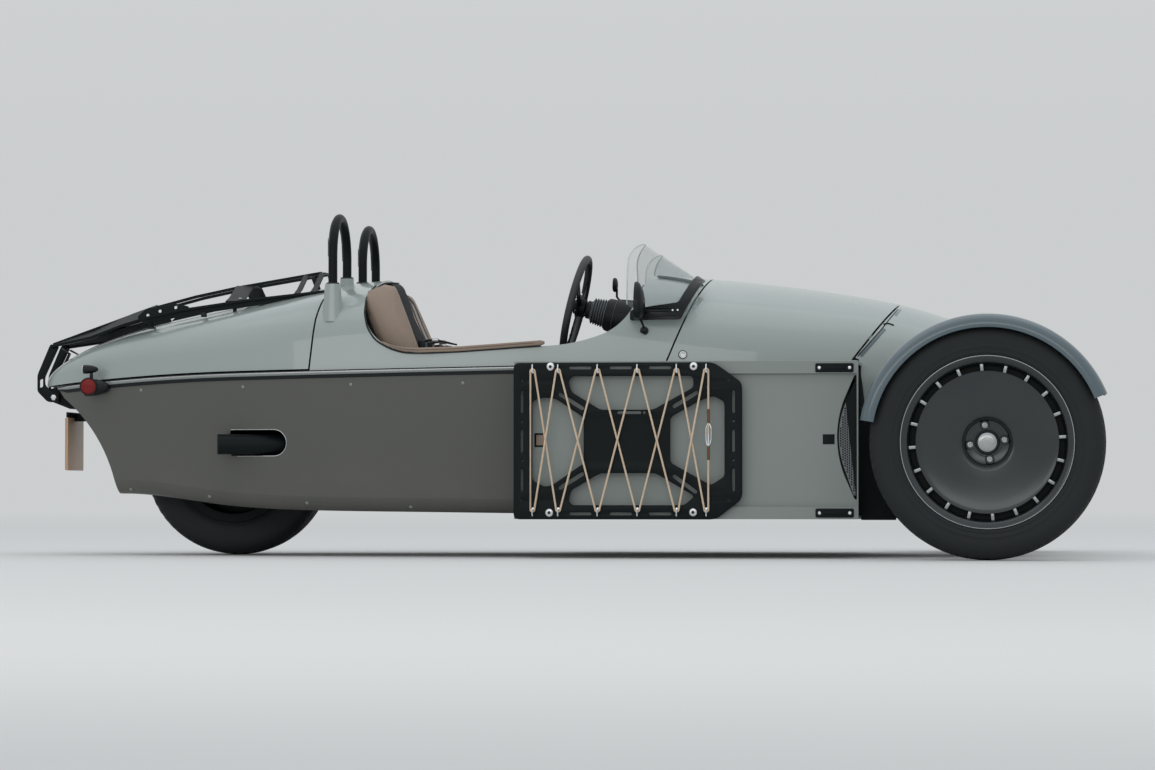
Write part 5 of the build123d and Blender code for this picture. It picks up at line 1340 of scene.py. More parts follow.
ROLL = [(-1990, 710, -514), (-1960, 695, -514), (-1916, 684, -514), (-1870, 680, -514),
        (-1734, 684, -517), (-1600, 693, -518), (-1446, 704, -519)]  # station, height, across
roll = pad([at(x, y + (sill(x, z) if x < -1884 else 0), z) for x, z, y in ROLL], 20, 17, count=52, ease=0.035, passes=2)
for k, ring in enumerate(roll[:13]):
    heart = sum(ring, Vector()) / AROUND
    roll[k] = [heart + (p - heart) * (0.35 + 0.05 * k) for p in ring]
print("roll runs at", [round(p.y, 3) for p in (roll[0][0], roll[12][0], roll[-1][0])])
edge_roll = Shape().skin(roll, caps=True)
edge_roll.bar([p + Vector((0, -0.0102, 0.001)) for p in (sum(r, Vector()) / AROUND for r in roll[3:-3])], 0.8, 6, tone=1)
pair = Shape().join(edge_roll).join(edge_roll.mirrored())
coaming = pair.build("coaming_rolls", ["tan_leather", "leather_piping"], "tan_leather", "chassis", ["coamings"], sharp=50)

welt = Shape()
for side in (-1, 1):
    arc = [(-2046, 904), (-2050, 896), (-2056, 858), (-2053, 806), (-2040, 757), (-2012, 715), (-1963, 687), (-1914, 672)]
    line = [on_side(body_skin, x, z, 1.5, side)[0] for x, z in arc]
    under = [sum(ring, Vector()) / AROUND for ring in roll[14:-1:3]]
    line += [Vector((p.x, side * (abs(p.y) + 0.0055), p.z - 0.0095)) for p in under if p.x > AXLE - 1.880]
    welt.bar(smooth_path(line, 72, 2), 3.0, 8)
welt.build("cockpit_welt", ["tyre_rubber"], "tyre_rubber", "chassis")

# %% [markdown]
# The steering wheel is a leather rim on three drilled spokes, and it turns with its own
# body. The rim's seam and the two arms with silver buttons are what the eye looks for.

# %% Steering wheel
WHEEL_X, WHEEL_Z, WHEEL_TILT = -1368.0, 832.0, math.radians(14)
column_dir = Vector((math.cos(WHEEL_TILT), 0, -math.sin(WHEEL_TILT)))
wheel_up = Vector((math.sin(WHEEL_TILT), 0, math.cos(WHEEL_TILT)))
wheel_spot = at(WHEEL_X, -290, WHEEL_Z)
rim_frame = Matrix.Translation(wheel_spot) @ Matrix((column_dir, Vector((0, 1, 0)), wheel_up)).transposed().to_4x4()


def on_wheel(x, y, z):
    """A place by the wheel: x along the column, y across, z up the rim's plane, in millimetres."""
    return rim_frame @ Vector((x / 1000, y / 1000, z / 1000))


helm = Shape()
rim_rings = []
for k in range(96):
    a = 2 * math.pi * k / 96
    outward = Vector((0, math.cos(a), math.sin(a)))
    ring = []
    for j in range(20):
        b = 2 * math.pi * j / 20
        r, x = 161 + 14 * math.cos(b), 12.5 * math.sin(b)
        ring.append(rim_frame @ Vector((x / 1000, outward.y * r / 1000, outward.z * r / 1000)))
    rim_rings.append(ring)
helm.skin(rim_rings, tone=0, round_again=True)
seam = [on_wheel(-0.5, 147.2 * math.cos(2 * math.pi * k / 96), 147.2 * math.sin(2 * math.pi * k / 96)) for k in range(96)]
helm.bar(seam, 1.1, 6, tone=1, closed=True)
STITCH_R, STITCHES = 147.6, 72
for k in range(STITCHES):
    ends = [(-4, 2 * math.pi * k / STITCHES), (4, 2 * math.pi * k / STITCHES + 0.02)]
    helm.bar([on_wheel(x, STITCH_R * math.cos(a), STITCH_R * math.sin(a)) for x, a in ends], 0.7, 5, tone=1)


def spoke(turn):
    a = math.radians(turn)
    u, v = (math.cos(a), math.sin(a)), (-math.sin(a), math.cos(a))

    def place(along_it, aside, deep):
        return on_wheel(deep, u[0] * along_it + v[0] * aside, u[1] * along_it + v[1] * aside)

    rings = []
    for along_it, half, deep in [(24, 24, 10), (60, 15, 8), (105, 13, 6), (140, 17, 3), (156, 24, 0)]:
        rings.append([place(along_it, s * half, deep + d) for s, d in ((1, -2.5), (1, 2.5), (-1, 2.5), (-1, -2.5))])
    helm.skin(rings, tone=2, caps=True)
    return place


for turn in (-90, 30, 150):
    place = spoke(turn)
    for along_it in (50, 74, 98, 120):
        for face in (-1, 1):
            deep = 10 - along_it * 0.055 + face * 2.7
            ring = [place(along_it + 5 * math.cos(2 * math.pi * j / 16), 5 * math.sin(2 * math.pi * j / 16), deep)
                    for j in range(16)]
            helm.add(ring, [tuple(range(16))], tone=1)


def about_column(shape, profile, steps, tone):
    """A turned part on the steering column; profile is (radius, place along the column)."""
    rings = []
    for k in range(steps):
        a = 2 * math.pi * k / steps
        rings.append([on_wheel(o, r * math.cos(a), r * math.sin(a)) for r, o in profile])
    return shape.skin(rings, tone, round_again=True)


about_column(helm, [(0, -6), (22, -6), (25, -3), (25, 2), (34, 4), (34, 12), (30, 14), (30, 32), (26, 34), (0, 34)], 40, 2)
about_column(helm, [(0, -9), (16, -8.5), (20, -6), (20, -3), (0, -3)], 32, 1)
for k in range(6):
    a = math.radians(60 * k + 30)
    ring = [(0, -2.4), (3.2, -2.4), (3.2, 3), (0, 3)]
    centre = (28.5 * math.cos(a), 28.5 * math.sin(a))
    rings = [[on_wheel(o + 4, centre[0] + r * math.cos(2 * math.pi * j / 8), centre[1] + r * math.sin(2 * math.pi * j / 8))
              for r, o in ring] for j in range(8)]
    helm.skin(rings, 3, round_again=True)
about_column(helm, [(10, 33), (10, 51), (0, 51), (0, 33)], 24, 2)
for side in (-1, 1):
    helm.bar([on_wheel(14, side * 30, 10), on_wheel(10, side * 52, 26), on_wheel(6, side * 62, 40)], [7, 6, 5], 12, tone=2)
    for dy, dz in ((54, 32), (60, 44)):
        rings = [[on_wheel(o, side * dy + r * math.cos(2 * math.pi * j / 16), dz + r * math.sin(2 * math.pi * j / 16))
                  for r, o in [(0, -8), (5, -8), (6.5, -6), (6.5, 4), (0, 4)]] for j in range(16)]
        helm.skin(rings, 3, round_again=True)
helm.build("helm_wheel", ["black_hide", "grey_sleeve", "black_metal", "bright_strip"], "black_metal", "helm",
           ["steering_wheel"])

# %% [markdown]
# Behind the wheel a rubber boot with six pleats closes the gap to the instrument cowl.
# Pleats are a zigzag turned round the column, and the cowl is a moulded hood whose round
# display faces the driver. Everything ahead of the dashboard is hidden, so it stops there.

# %% Boot and cowl
column = Shape()
about_column(column, [(10.6, 37), (27, 37), (30, 40), (30, 52), (10.6, 52)], 40, 0)
pleats = [(30, 52)]
for k in range(6):
    o = 56 + k * 8.5
    pleats += [(36 + k, o), (43 + k, o + 3), (43 + k, o + 5), (36 + k, o + 8)]
pleats += [(44, 108), (30, 108)]
about_column(column, pleats, 56, 1)
hood = []
for o, r, flat in [(104, 46, 0.0), (106, 52, 0.0), (112, 54.5, 0.1), (160, 59, 0.25), (212, 63, 0.35)]:
    ring = []
    for j in range(48):
        a = 2 * math.pi * j / 48
        y, z = r * math.cos(a), r * math.sin(a)
        z = min(z, r * (1 - 0.12 * flat)) if z > 0 else z * (1 + 0.10 * flat)
        ring.append(on_wheel(o, y, z))
    hood.append(ring)
column.skin(hood, tone=0, caps=True)
column.bar([on_wheel(133, 57.4 * math.cos(a), 57.4 * math.sin(a)) for a in (2 * math.pi * k / 48 for k in range(48))],
           1.0, 6, tone=1, closed=True)
column.build("column_boot", ["dark_trim", "boot_rubber"], "dark_trim", "chassis", ["steering_column"])

# %% [markdown]
# Mirrors: the door mirror is an egg-shaped shell with its glass set back inside a lip, on
# a stem that ends in a ball. The small one over the dashboard is a plain pod on a stalk.

# %% Mirrors
mirrors = Shape()
egg = Matrix.Translation(at(-1141, 560, 838)) @ Matrix.Diagonal((1, 0.80, 1.08, 1))
rings = []
EGG = [(0, 5), (46, 5), (50, 3.6), (53.5, 0), (55.5, -4), (57, 0), (57.5, 6)]
for k in range(1, 13):
    t = k / 12
    EGG.append((57.5 * math.sqrt(max(0, 1 - t ** 1.9)), 6 + 30 * t))
for k in range(56):
    a = 2 * math.pi * k / 56
    ring = []
    for r, o in EGG:
        y, z = r * math.cos(a), r * math.sin(a)
        taper = 1 - 0.22 * z / 57.5
        ring.append(egg @ Vector((o * (0.86 - 0.14 * z / 57.5) / 1000, y * taper / 1000, z / 1000)))
    rings.append(ring)
mirrors.skin(rings, tone=0, round_again=True, ring_closed=False)
glass = [egg @ Vector((0.0045, 0.045 * math.cos(a) * (1 - 0.22 * math.sin(a) * 0.8), 0.045 * math.sin(a)))
         for a in (2 * math.pi * k / 48 for k in range(48))]
mirrors.add(glass, [tuple(range(48))], tone=1)
foot = on_side(body_skin, -1119, 742, 0, 1)[0]
mirrors.bar([at(-1128, 560, 782), at(-1122, 548, 768), foot + Vector((-0.001, 0.014, 0.012))], [5, 4.2, 4], 14, tone=0)
ball = foot + Vector((0, 0.010, 0))
rings = [ring_points(ball + Vector((0, 0.011 * math.cos(t), 0)), Vector((1, 0, 0)), Vector((0, 0, 1)),
                     0.011 * math.sin(t) + 1e-5, 20)
         for t in (math.pi * k / 12 for k in range(13))]
mirrors.skin(rings, tone=0)
mirrors.bar([foot + Vector((0, -0.002, 0)), foot + Vector((0, 0.003, 0))], 14, 24, tone=0)
pair = Shape().join(mirrors).join(mirrors.mirrored())
pair.build("door_mirrors", ["gloss_black", "mirror_glass"], "black_metal", "chassis", ["side_mirrors"])

small = Shape()
small.lathe([(0, -1275), (21, -1275), (24, -1272), (24.5, -1268), (22, -1262), (12, -1259), (0, -1258.5)],
            at(0, 0, 919), 36, tone=0, axis="X")
small.lathe([(0, -1275.4), (20, -1275.4), (20, -1274), (0, -1274)], at(0, 0, 919), 32, tone=1, axis="X")
small.bar([at(-1262, 0, 905), at(-1262, 0, 878), at(-1252, 0, 866), at(-1200, 0, 862), at(-1144, 0, 862)], 4, 12, tone=0)
small.build("middle_mirror", ["dark_trim", "mirror_glass"], "black_metal", "chassis", ["centre_mirror"])

# %% [markdown]
# Each screen is a half tube of clear sheet raked back over the driver. Its dark foot is an
# L: a bar along the scuttle and an arm that wraps over the top. We draw the L flat in
# side view and roll it on to the tube, because the real one is bent from the same drawing.

# %% Screen feet
SCREEN_Y, SCREEN_R, RAKE = 305.0, 190.0, math.radians(34)
CREST = (-975.0, 930.0)


def on_tube(x, z, out):
    """Where a point drawn in side view lands on the screen's tube, out from its surface."""
    a, b = CREST[0] - x, z - CREST[1]
    share = (math.sin(RAKE) * a - math.cos(RAKE) * b) / SCREEN_R
    along_it = math.cos(RAKE) * a + math.sin(RAKE) * b
    turn = math.acos(max(-1.0, min(1.0, 1 - share)))
    r = SCREEN_R + out
    drop = SCREEN_R - r * math.cos(turn)
    return at(CREST[0] - math.cos(RAKE) * along_it - math.sin(RAKE) * drop, SCREEN_Y + r * math.sin(turn),
              CREST[1] + math.sin(RAKE) * along_it - math.cos(RAKE) * drop)


def dense(corners, radius, step=7.0):
    """A rounded outline with its long runs divided."""
    line, found = rounded(corners, radius), []
    for k, p in enumerate(line):
        q = line[(k + 1) % len(line)]
        parts = max(1, int((q - p).length / step))
        found += [p.lerp(q, j / parts) for j in range(parts)]
    return found


def clear_of_body(place, lift):
    """Moves a point out from the scuttle where the tube would carry it inside."""
    hit = body_skin.ray_cast(Vector((place.x, 1.5, place.z)), Vector((0, -1, 0)))[0]
    return Vector((place.x, max(place.y, hit.y + 0.0012 + lift), place.z)) if hit else place


rake_up = Vector((-math.cos(RAKE), 0, math.sin(RAKE)))
feet = Shape()
l_shape = dense([(-1166, 777), (-1001, 777), (-931, 919), (-964, 925), (-1012, 832), (-1100, 821), (-1164, 810)], 9)
sheet = Shape().plate([l_shape], 0, 6, soften=1.2, move=Matrix.Identity(4))
sheet.plate([slot(-1080, 806, 80, 5), slot(-1068, 792, 104, 8)], 5.5, 7, tone=2, soften=0.4, move=Matrix.Identity(4))
sheet.points = [clear_of_body(on_tube(p.x * 1000, p.z * 1000, 4.5 + p.y * 1000 * 0.999), p.y) for p in sheet.points]
feet.join(sheet)
for x, z in [(-1012, 806), (-1028, 806)]:
    p, q = (clear_of_body(on_tube(x, z, out), out / 1000 - 0.0035) for out in (9.5, 12.5))
    feet.bar([p, q], [4.2, 3.2], 14, tone=1)
print("foot outline points", len(l_shape))


# %% [markdown]
# The glass meets the scuttle along a curve that no drawing gives. We slide down the tube along its own straight lines
# until a ray meets the panel. That gives the clamp's line, and the sheet rises from it to an edge that was cut in side
# view and then polished. A pale bar along that edge is a painted highlight, the glint of the polished edge.

# %% Screen glass and its clamp
def tube_place(turn, radius, up):
    """A place on the screen's tube: the turn from its crest, and how far up its length."""
    drop = SCREEN_R - radius * math.cos(turn)
    ring_place = at(CREST[0] - math.sin(RAKE) * drop, SCREEN_Y + radius * math.sin(turn),
                    CREST[1] - math.cos(RAKE) * drop)
    return ring_place + rake_up * (up / 1000)


def foot_up(turn):
    """How far up the tube's length the scuttle lies."""
    start = tube_place(turn, SCREEN_R, 340)
    hit = body_skin.ray_cast(start, -rake_up)[0]
    return 340 - (hit - start).length * 1000 if hit else None


TOP_EDGE = [(-1178, 975), (-1172, 1000), (-1158, 1022), (-1140, 1036), (-1124, 1040), (-1108, 1036), (-936, 940)]


def under_edge(place):
    """Whether a place lies inside the outline that the sheet was cut to."""
    x, z = (place.x - AXLE) * 1000, place.z * 1000
    if x < -1177 or x > -942 or z < 783:
        return False
    for (x0, z0), (x1, z1) in zip(TOP_EDGE, TOP_EDGE[1:]):
        if (x1 - x0) * (z - z0) - (z1 - z0) * (x - x0) > 0:
            return False
    return True


cuts = []
for k in range(-88, 93, 3):
    floor_up = foot_up(math.radians(k))
    first = -160 if floor_up is None else int(floor_up)
    inside = [up for up in range(first, 330) if under_edge(tube_place(math.radians(k), SCREEN_R, up))]
    if len(inside) > 12:
        cuts.append([k, inside[0], inside[-1], floor_up is not None and inside[0] <= floor_up + 2])
for _ in range(2):
    middle = [(a[2] + 2 * b[2] + c[2]) / 4 for a, b, c in zip(cuts, cuts[1:], cuts[2:])]
    for cut, high in zip(cuts[1:], middle):
        cut[2] = high
glass, band, edge, turns = [], [], [], []
for k, low, high, on_floor in cuts:
    turn = math.radians(k)
    inner = [tube_place(turn, SCREEN_R - 4, low + 6 + (high - low - 6) * j / 8) for j in range(9)]
    outer = [tube_place(turn, SCREEN_R, low + 6 + (high - low - 6) * j / 8) for j in range(9)]
    glass.append(inner + outer[::-1])
    edge.append(tube_place(turn, SCREEN_R - 2, high))
    if on_floor and (tube_place(turn, SCREEN_R, low).x - AXLE) * 1000 > -1108:
        band.append([tube_place(turn, r, low + up) for r, up in ((SCREEN_R - 7, -3), (SCREEN_R - 7, 13), (SCREEN_R - 5, 15),
                                                                 (SCREEN_R + 4, 15), (SCREEN_R + 6, 13), (SCREEN_R + 6, -3))])
        turns.append(k)
feet.skin(band, tone=0, caps=True)
pair = Shape().join(feet).join(feet.mirrored())
pair.build("screen_feet", ["gloss_black", "bright_strip", "dark_trim"], "black_metal", "chassis", ["screen_frames"])
sheet = Shape().skin(glass, tone=0, caps=True)
# The pale bar along the top edge is a painted highlight.
sheet.bar(edge, 2.3, 8, tone=1)
pair = Shape().join(sheet).join(sheet.mirrored())
pair.build("screen_glass", ["clear_screen", "painted_edge_highlight"], "clear_screen", "chassis", ["flyscreens"], sharp=50)
print("glass turns", len(glass), "clamp from", turns[0], "to", turns[-1], "degrees")

# %% [markdown]
# A rolled metal bead covers the joint between the tub and the upper body. Above it lies a thin black seal. The bead's
# lower half is in the pod's darker grey, painted shade where it turns down from the sky. Below it lies a dark strip on
# the tub, painted shadow for the gap. The joint is straight from the nose to behind the seats and then falls in one
# curve to the stern, so a short formula gives its height.

# %% The waist bead
strip_skin = surface_of("waist_strips")


def waist(x):
    """The joint's height at a station."""
    past = max(0.0, (-2500.0 - x) / 740.0)
    return 612.3 + 0.0165 * (x + 2500) - 30.09 * past ** 2


BEAD = [(-4, 5.4), (0.2, 5.2), (2.2, 4.2), (3.2, 2.6), (3.4, 1.0), (3.0, -0.2), (-4, -0.2)]
# The bead's lower half in a darker grey: painted shade.
LOWER_PAINTED_SHADE = [(-4, 0.0), (2.7, -0.1), (2.5, -2.6), (1.7, -5.0), (0.4, -6.3), (-4, -6.4)]
SEAL = [(-4, 8.6), (0.0, 8.4), (0.3, 5.2), (-4, 5.0)]
# A dark strip on the tub under the bead: painted shadow for the gap.
SHADOW = [(-5, -6.2), (-1.2, -6.2), (-1.6, -16.5), (-5, -18.0)]
stations = [-3176 + 1646 * k / 42 for k in range(43)]
waist_line = Shape()
for side in (-1, 1):
    for outline, tone_number in ((BEAD, 0), (SEAL, 1), (SHADOW, 1), (LOWER_PAINTED_SHADE, 2)):
        rings = []
        for n, x in enumerate(stations):
            place, normal = on_side(strip_skin, x, waist(x) - 8.5, 0, side)
            out = Vector((normal.x, normal.y, 0)).normalized()
            size = 0.35 if n == 0 else 1.0
            rings.append([place + out * (u * size / 1000) + Vector((0, 0, v * size / 1000)) for u, v in outline])
        waist_line.skin(rings, tone_number, caps=True)
waist_line.build("waist_bead", ["cap_metal", "dark_trim", "pod_paint"], "bright_strip", "chassis",
                 ["waist_strips"], sharp=45)

# %% [markdown]
# Small things decide how large a car looks: domed rivets along the tub, a quarter-turn fastener on the bonnet, the
# rubber seal under the bonnet's front edge and the raw rim of the exhaust's slot. Each one is set on the skin by a ray
# and turned along its normal. The rivets wear the pod's lighter grey, not the tub's paint: a painted highlight on their
# domes. A band of dark slate just ahead of the bonnet's seal is painted shade, standing for a recess along the bonnet's
# front edge.

# %% Rivets, fasteners and seals
RIVETS = [(-2846, 558), (-2469, 564), (-2092, 569), (-1714, 572), (-2898, 224), (-2601, 199), (-2253, 178), (-1897, 165)]
BONNET_EDGE = [(-431, 660), (-387, 712), (-354, 752), (-322, 800), (-306, 824)]
small_parts = Shape()


def stud(shape, tree, x, z, side, profile, tone_number, count=16):
    """A turned part standing on a skin; profile is (radius, height above the skin)."""
    place, normal = on_side(tree, x, z, 0, side)
    across = normal.orthogonal().normalized()
    up = normal.cross(across)
    rings = [ring_points(place + normal * (h / 1000), across, up, max(r, 0.01) / 1000, count) for r, h in profile]
    return shape.skin(rings, tone_number, caps=True)


def strap(shape, tree, line, side, width, thick, tone_number, count=24, ahead=0.0):
    """A flat strip laid on a skin along stations and heights."""
    route = smooth_path([Vector((x, 0, z)) for x, z in line], count, 1)
    rings = []
    for k, p in enumerate(route):
        place, normal = on_side(tree, p.x + ahead, p.z, 0, side)
        along = (route[min(k + 1, count - 1)] - route[max(k - 1, 0)]).normalized()
        across = normal.cross(along).normalized()
        w, t = width / 2000, thick / 1000
        rings.append([place + across * u + normal * h for u, h in ((w, -0.001), (w, t * 0.6), (w * 0.8, t), (-w * 0.8, t),
                                                                  (-w, t * 0.6), (-w, -0.001))])
    return shape.skin(rings, tone_number, caps=True)


nose_skin = surface_of("nose_cowl")
for side in (-1, 1):
    for x, z in RIVETS:
        # Rivets in the pod's lighter grey: a painted highlight.
        stud(small_parts, tub_skin, x, z, side, [(5.8, -0.5), (5.8, 0.5), (5.1, 1.9), (3.4, 2.9), (1.3, 3.3)], 5)
    stud(small_parts, body_skin, -993, 663, side, [(12.5, -0.5), (12.5, 1.0), (11.4, 2.0), (9.4, 2.0), (9.2, 1.0), (8.6, 1.0),
                                                   (7.8, 2.2), (4.0, 2.4)], 1, 32)
    stud(small_parts, body_skin, -993, 663, side, [(14.8, -0.5), (14.8, 0.7), (13.2, 0.9)], 2, 32)
    strap(small_parts, nose_skin, BONNET_EDGE, side, 4.0, 1.0, 2, ahead=4.0)
    # The 12 mm band of dark slate ahead of the seal is painted shade for a recess in the nose panel.
    strap(small_parts, nose_skin, BONNET_EDGE[:3], side, 12.0, 0.7, 3, ahead=13.0)
    strap(small_parts, nose_skin, BONNET_EDGE[3:], side, 12.0, 0.7, 3, count=8, ahead=13.0)
    strap(small_parts, nose_skin, [(-346, 768), (-330, 771), (-312, 764)], side, 5.0, 3.0, 2, count=10)
    low, high, left, right = 335.0, 421.0, -2524.0, -2320.0
    middle, r = (low + high) / 2, (high - low) / 2
    rim_line = [(left + 30, low - 1)] + [(right - r, low - 1)]
    rim_line += [(right - r + (r + 1) * math.sin(a), middle - (r + 1) * math.cos(a))
                 for a in (math.pi * k / 16 for k in range(1, 16))]
    rim_line += [(right - r, high + 1), (left + 8, high + 1)]
    edge = [on_side(tub_skin, x, z, 0.6, side)[0] for x, z in rim_line]
    small_parts.bar(edge, 1.3, 8, tone=4)
    small_parts.bar([at(x, side * 656.5, 634.0) for x in (-1525, -1200, -900, -600, -416)], 3.4, 10, tone=5)
small_parts.build("rivets_and_seals", ["tub_paint", "cap_metal", "dark_trim", "guard_paint", "bright_strip", "pod_paint"],
                  "black_metal", "chassis")
print("rivets:", 2 * len(RIVETS))

# %% [markdown]
# The headlamps stand free beside the nose. Each is a spun bowl with a bright rolled rim, a
# mirrored reflector and a domed glass. We turn all four about the lamp's own axis, because
# that is how the real ones are made, and leave the glass thin enough to see the mirror.

# %% Headlamps
LAMP_Y, LAMP_Z = 374.0, 640.0
lamp_axis = at(0, LAMP_Y, LAMP_Z)
headlamp = Shape()
headlamp.lathe([(0, -30), (14, -29.4), (30, -26), (44, -19.5), (56, -9), (64.5, 5), (70.5, 24), (74.5, 48),
                (76.8, 74), (77.6, 102), (75, 102), (72, 60), (62, 12), (40, -14),
                (0, -24)], lamp_axis, 72, tone=0, axis="X")
headlamp.lathe([(73.6, 101), (78.2, 100.6), (79.8, 104), (80, 108), (78.6, 113), (75.4, 116.6), (71.8, 117.2),
                (70.6, 115.2), (71.4, 111), (73.6, 109)], lamp_axis, 96, tone=1, axis="X")
headlamp.lathe([(72, 108), (66, 84), (54, 58), (38, 40), (20, 31), (0, 29), (0, 27), (21, 29), (40, 38),
                (56, 57), (68, 84), (74, 107)], lamp_axis, 72, tone=2, axis="X")
headlamp.lathe([(0, 74), (13, 73), (19, 68), (21, 60), (21, 34), (16, 30), (0, 30)], lamp_axis, 36, tone=0, axis="X")
headlamp.lathe([(0, 121.6), (22, 121.0), (44, 119.2), (60, 116.6), (71.6, 113.2), (71.2, 111.6), (60, 114.4),
                (44, 117), (22, 118.8), (0, 119.4)], lamp_axis, 72, tone=3, axis="X")
headlamp.bar([at(50, 374, 572), at(50, 373, 563), at(50, 335, 503), at(50, 298, 452), at(50, 296, 440)],
             [10, 8, 8, 8, 9], 16, tone=4)
headlamp.lathe([(0, 560), (15, 560), (17, 563), (19, 568), (19, 574), (0, 574)], at(50, 374, 0), 24, tone=4, axis="Z")
headlamp.box((40, 286, 436), (60, 300, 446), tone=4, soften=2)
headlamp.lathe([(0, 446), (7, 446), (7, 449), (5.5, 450.5), (0, 450.5)], at(50, 293, 0), 6, tone=1, axis="Z")
pair = Shape().join(headlamp).join(headlamp.mirrored())
pair.build("lamp_pair", ["lamp_shell", "cap_metal", "lamp_mirror", "lamp_glass", "black_metal"], "black_metal", "chassis",
           ["headlamps"], sharp=32)

# %% [markdown]
# The grille's flat bars come from the solid model. Behind them the real nose has a screen
# that keeps stones off the cooler. We drop thin wires from the cowl's inner face, and each
# wire's length comes from a ray that finds that face.

# %% Stone screen in the nose
cowl_skin = surface_of("nose_cowl")
screen = Shape()
wires = 0
for k in range(-24, 25):
    y = k * 8.0
    roof, _, _, _ = cowl_skin.ray_cast(at(150, y, 452), Vector((0, 0, 1)))
    if roof is not None and roof.z > 0.50:
        screen.bar([at(150, y, 447), at(150, y, roof.z * 1000 - 1)], 1.1, 6)
        wires += 1
screen.build("stone_screen", ["dark_trim"], "black_metal", "chassis")
print("screen wires", wires)

# %% [markdown]
# A spring and damper leans from each lower arm up to the frame. The spring is a helix, so a circle that climbs along
# the damper's line gives its wire, and its ends stop against two turned seats.

# %% Springs and dampers
low, high = at(-54, 640, 250), at(-60, 330, 430)
lean = (high - low).normalized()
reach = (high - low).length * 1000
around_it = lean.orthogonal().normalized()
beside_it = lean.cross(around_it)
spring = Shape()


def turned_on(shape, profile, tone_number, steps=36):
    """A turned part on the damper's line; profile is (radius, place along it)."""
    rings = [[low + lean * (o / 1000) + (around_it * math.cos(a) + beside_it * math.sin(a)) * (r / 1000) for r, o in profile]
             for a in (2 * math.pi * k / steps for k in range(steps))]
    return shape.skin(rings, tone_number, round_again=True)


turned_on(spring, [(0, -2), (12, -2), (12, 62), (19, 66), (19, 190), (17, 194), (9, 196), (9, reach), (0, reach)], 1)
turned_on(spring, [(19, 60), (30, 60), (30.5, 64), (24, 66), (19, 70)], 2)
turned_on(spring, [(9, reach - 40), (30, reach - 40), (30.5, reach - 44), (24, reach - 47), (9, reach - 50)], 2)
COIL_TURNS, COIL_R, WIRE_R = 8.5, 25.5, 4.4
helix = []
for k in range(int(COIL_TURNS * 24) + 1):
    a = 2 * math.pi * k / 24
    o = 70 + (reach - 120) * k / (COIL_TURNS * 24)
    helix.append(low + lean * (o / 1000) + (around_it * math.cos(a) + beside_it * math.sin(a)) * (COIL_R / 1000))
spring.bar(helix, WIRE_R, 10, tone=0)
spring.box((-78, 300, 410), (-42, 344, 436), tone=3, soften=3)
spring.box((-66, 626, 224), (-42, 654, 262), tone=3, soften=3)
spring.bar([at(-40, 640, 250), at(-68, 640, 250)], 8, 6, tone=2)
spring.bar([at(-38, 330, 424), at(-82, 330, 424)], 8, 6, tone=2)
pair = Shape().join(spring).join(spring.mirrored())
pair.build("spring_dampers", ["black_metal", "cap_metal", "arm_metal", "black_metal"], "black_metal", "chassis",
           ["coilovers"])

# %% [markdown]
# The uprights stay as the model has them, and get the small steel that tells what they are:
# caliper bolts, a bleed nipple and the pad's pin. They ride with the upright as it steers.

# %% Caliper hardware
fixings = Shape()
for x, z in ((72, 332), (138, 332), (72, 410), (138, 410)):
    spot = at(x, 764, z)
    fixings.lathe([(0, -6.5), (5.6, -6.5), (6.6, -5.4), (6.6, 1), (0, 1)], spot, 6, tone=0)
    fixings.lathe([(0, -1.6), (9.5, -1.6), (9.5, 1), (0, 1)], spot, 20, tone=0)
fixings.bar([at(84, 770, 427), at(84, 770, 436), at(84, 770, 444)], [4.5, 4.0, 2.6], 12, tone=0)
fixings.bar([at(96, 759, 345), at(96, 759, 398)], 4.0, 12, tone=0)
fixings.bar([at(118, 759, 345), at(118, 759, 398)], 4.0, 12, tone=0)
fixings.box((86, 758, 340), (128, 765, 350), tone=1, soften=1.5)
fixings.box((86, 758, 392), (128, 765, 402), tone=1, soften=1.5)
both_sides(fixings, "caliper_fixings", ["cap_metal", "black_metal"], "arm_metal", "upright_{}")

# %% [markdown]
# In the middle of the dashboard sits one round instrument in a turned bezel, over a row of
# toggle switches. Its marks are plain strokes, set round the face like a clock's.

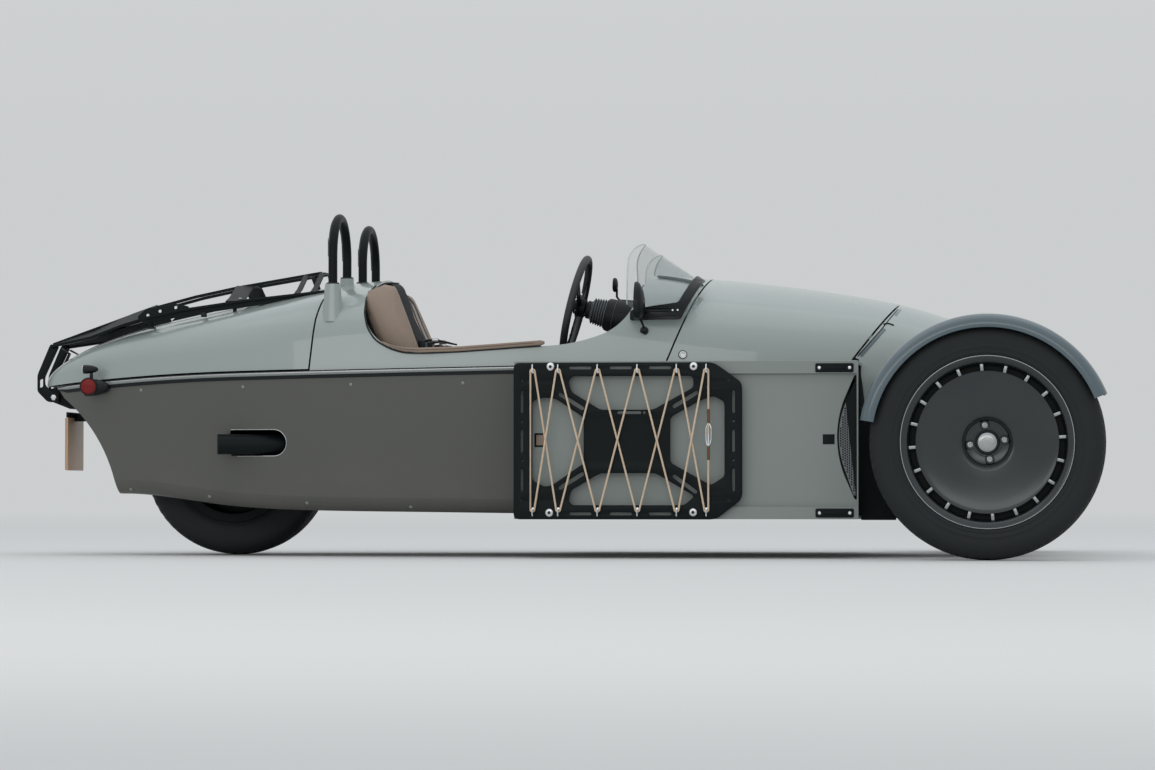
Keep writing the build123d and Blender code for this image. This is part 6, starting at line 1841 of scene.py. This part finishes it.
# %% Dashboard instrument and switches
panel_up = (at(-1145, 0, 905) - at(-1175, 0, 640)).normalized()
panel_out = Vector((-panel_up.z, 0, panel_up.x))
dial_spot = at(-1175, 0, 640) + panel_up * 0.158
dash = Shape()


def on_panel(x, y, out):
    """A place by the instrument: x across the car, y up the panel, out from its face."""
    return dial_spot + Vector((0, x / 1000, 0)) + panel_up * (y / 1000) + panel_out * (out / 1000)


def turned_out(profile, tone_number, x=0.0, y=0.0, steps=48):
    rings = [[on_panel(x + r * math.cos(a), y + r * math.sin(a), o) for r, o in profile]
             for a in (2 * math.pi * k / steps for k in range(steps))]
    return dash.skin(rings, tone_number, round_again=True)


turned_out([(0, -1), (62, -1), (62, 8), (60, 13), (56, 14), (52, 12), (50, 6), (0, 6)], 0)
turned_out([(52, 12.2), (56, 14.4), (59.6, 13.4), (58, 14.8), (55, 15.4), (52, 13.4)], 1)
turned_out([(0, 6.2), (49.6, 6.2), (49.6, 6.8), (0, 6.8)], 2)
for k in range(41):
    a = math.radians(225 - 270 * k / 40)
    inner = 40 if k % 5 == 0 else 44
    c, s, w = math.cos(a), math.sin(a), (0.9 if k % 5 == 0 else 0.5)
    dash.add([on_panel(r * c - t * s, r * s + t * c, 7.0) for r, t in ((inner, -w), (47, -w), (47, w), (inner, w))],
             [(0, 1, 2, 3)], tone=3)
dash.add([on_panel(*p, 7.8) for p in ((-2.0, -6), (2.0, -6), (0.5, 38), (-0.5, 38))], [(0, 1, 2, 3)], tone=4,
         move=Matrix.Translation(dial_spot) @ Matrix.Rotation(math.radians(50), 4, panel_out) @ Matrix.Translation(-dial_spot))
turned_out([(0, 7), (5, 7), (5, 9.4), (0, 9.4)], 0, steps=20)
for k in range(-3, 4):
    x = k * 26.0
    turned_out([(0, -1), (8, -1), (8, 2.6), (6.6, 4), (0, 4)], 0, x, -84, 6)
    dash.bar([on_panel(x, -84, 3), on_panel(x, -92, 17), on_panel(x, -93.4, 19)], [1.9, 3.0, 2.4], 12, tone=2)
dash.build("dash_fittings", ["dark_trim", "cap_metal", "dial_face", "bright_strip", "red_lens"], "dark_trim", "chassis")
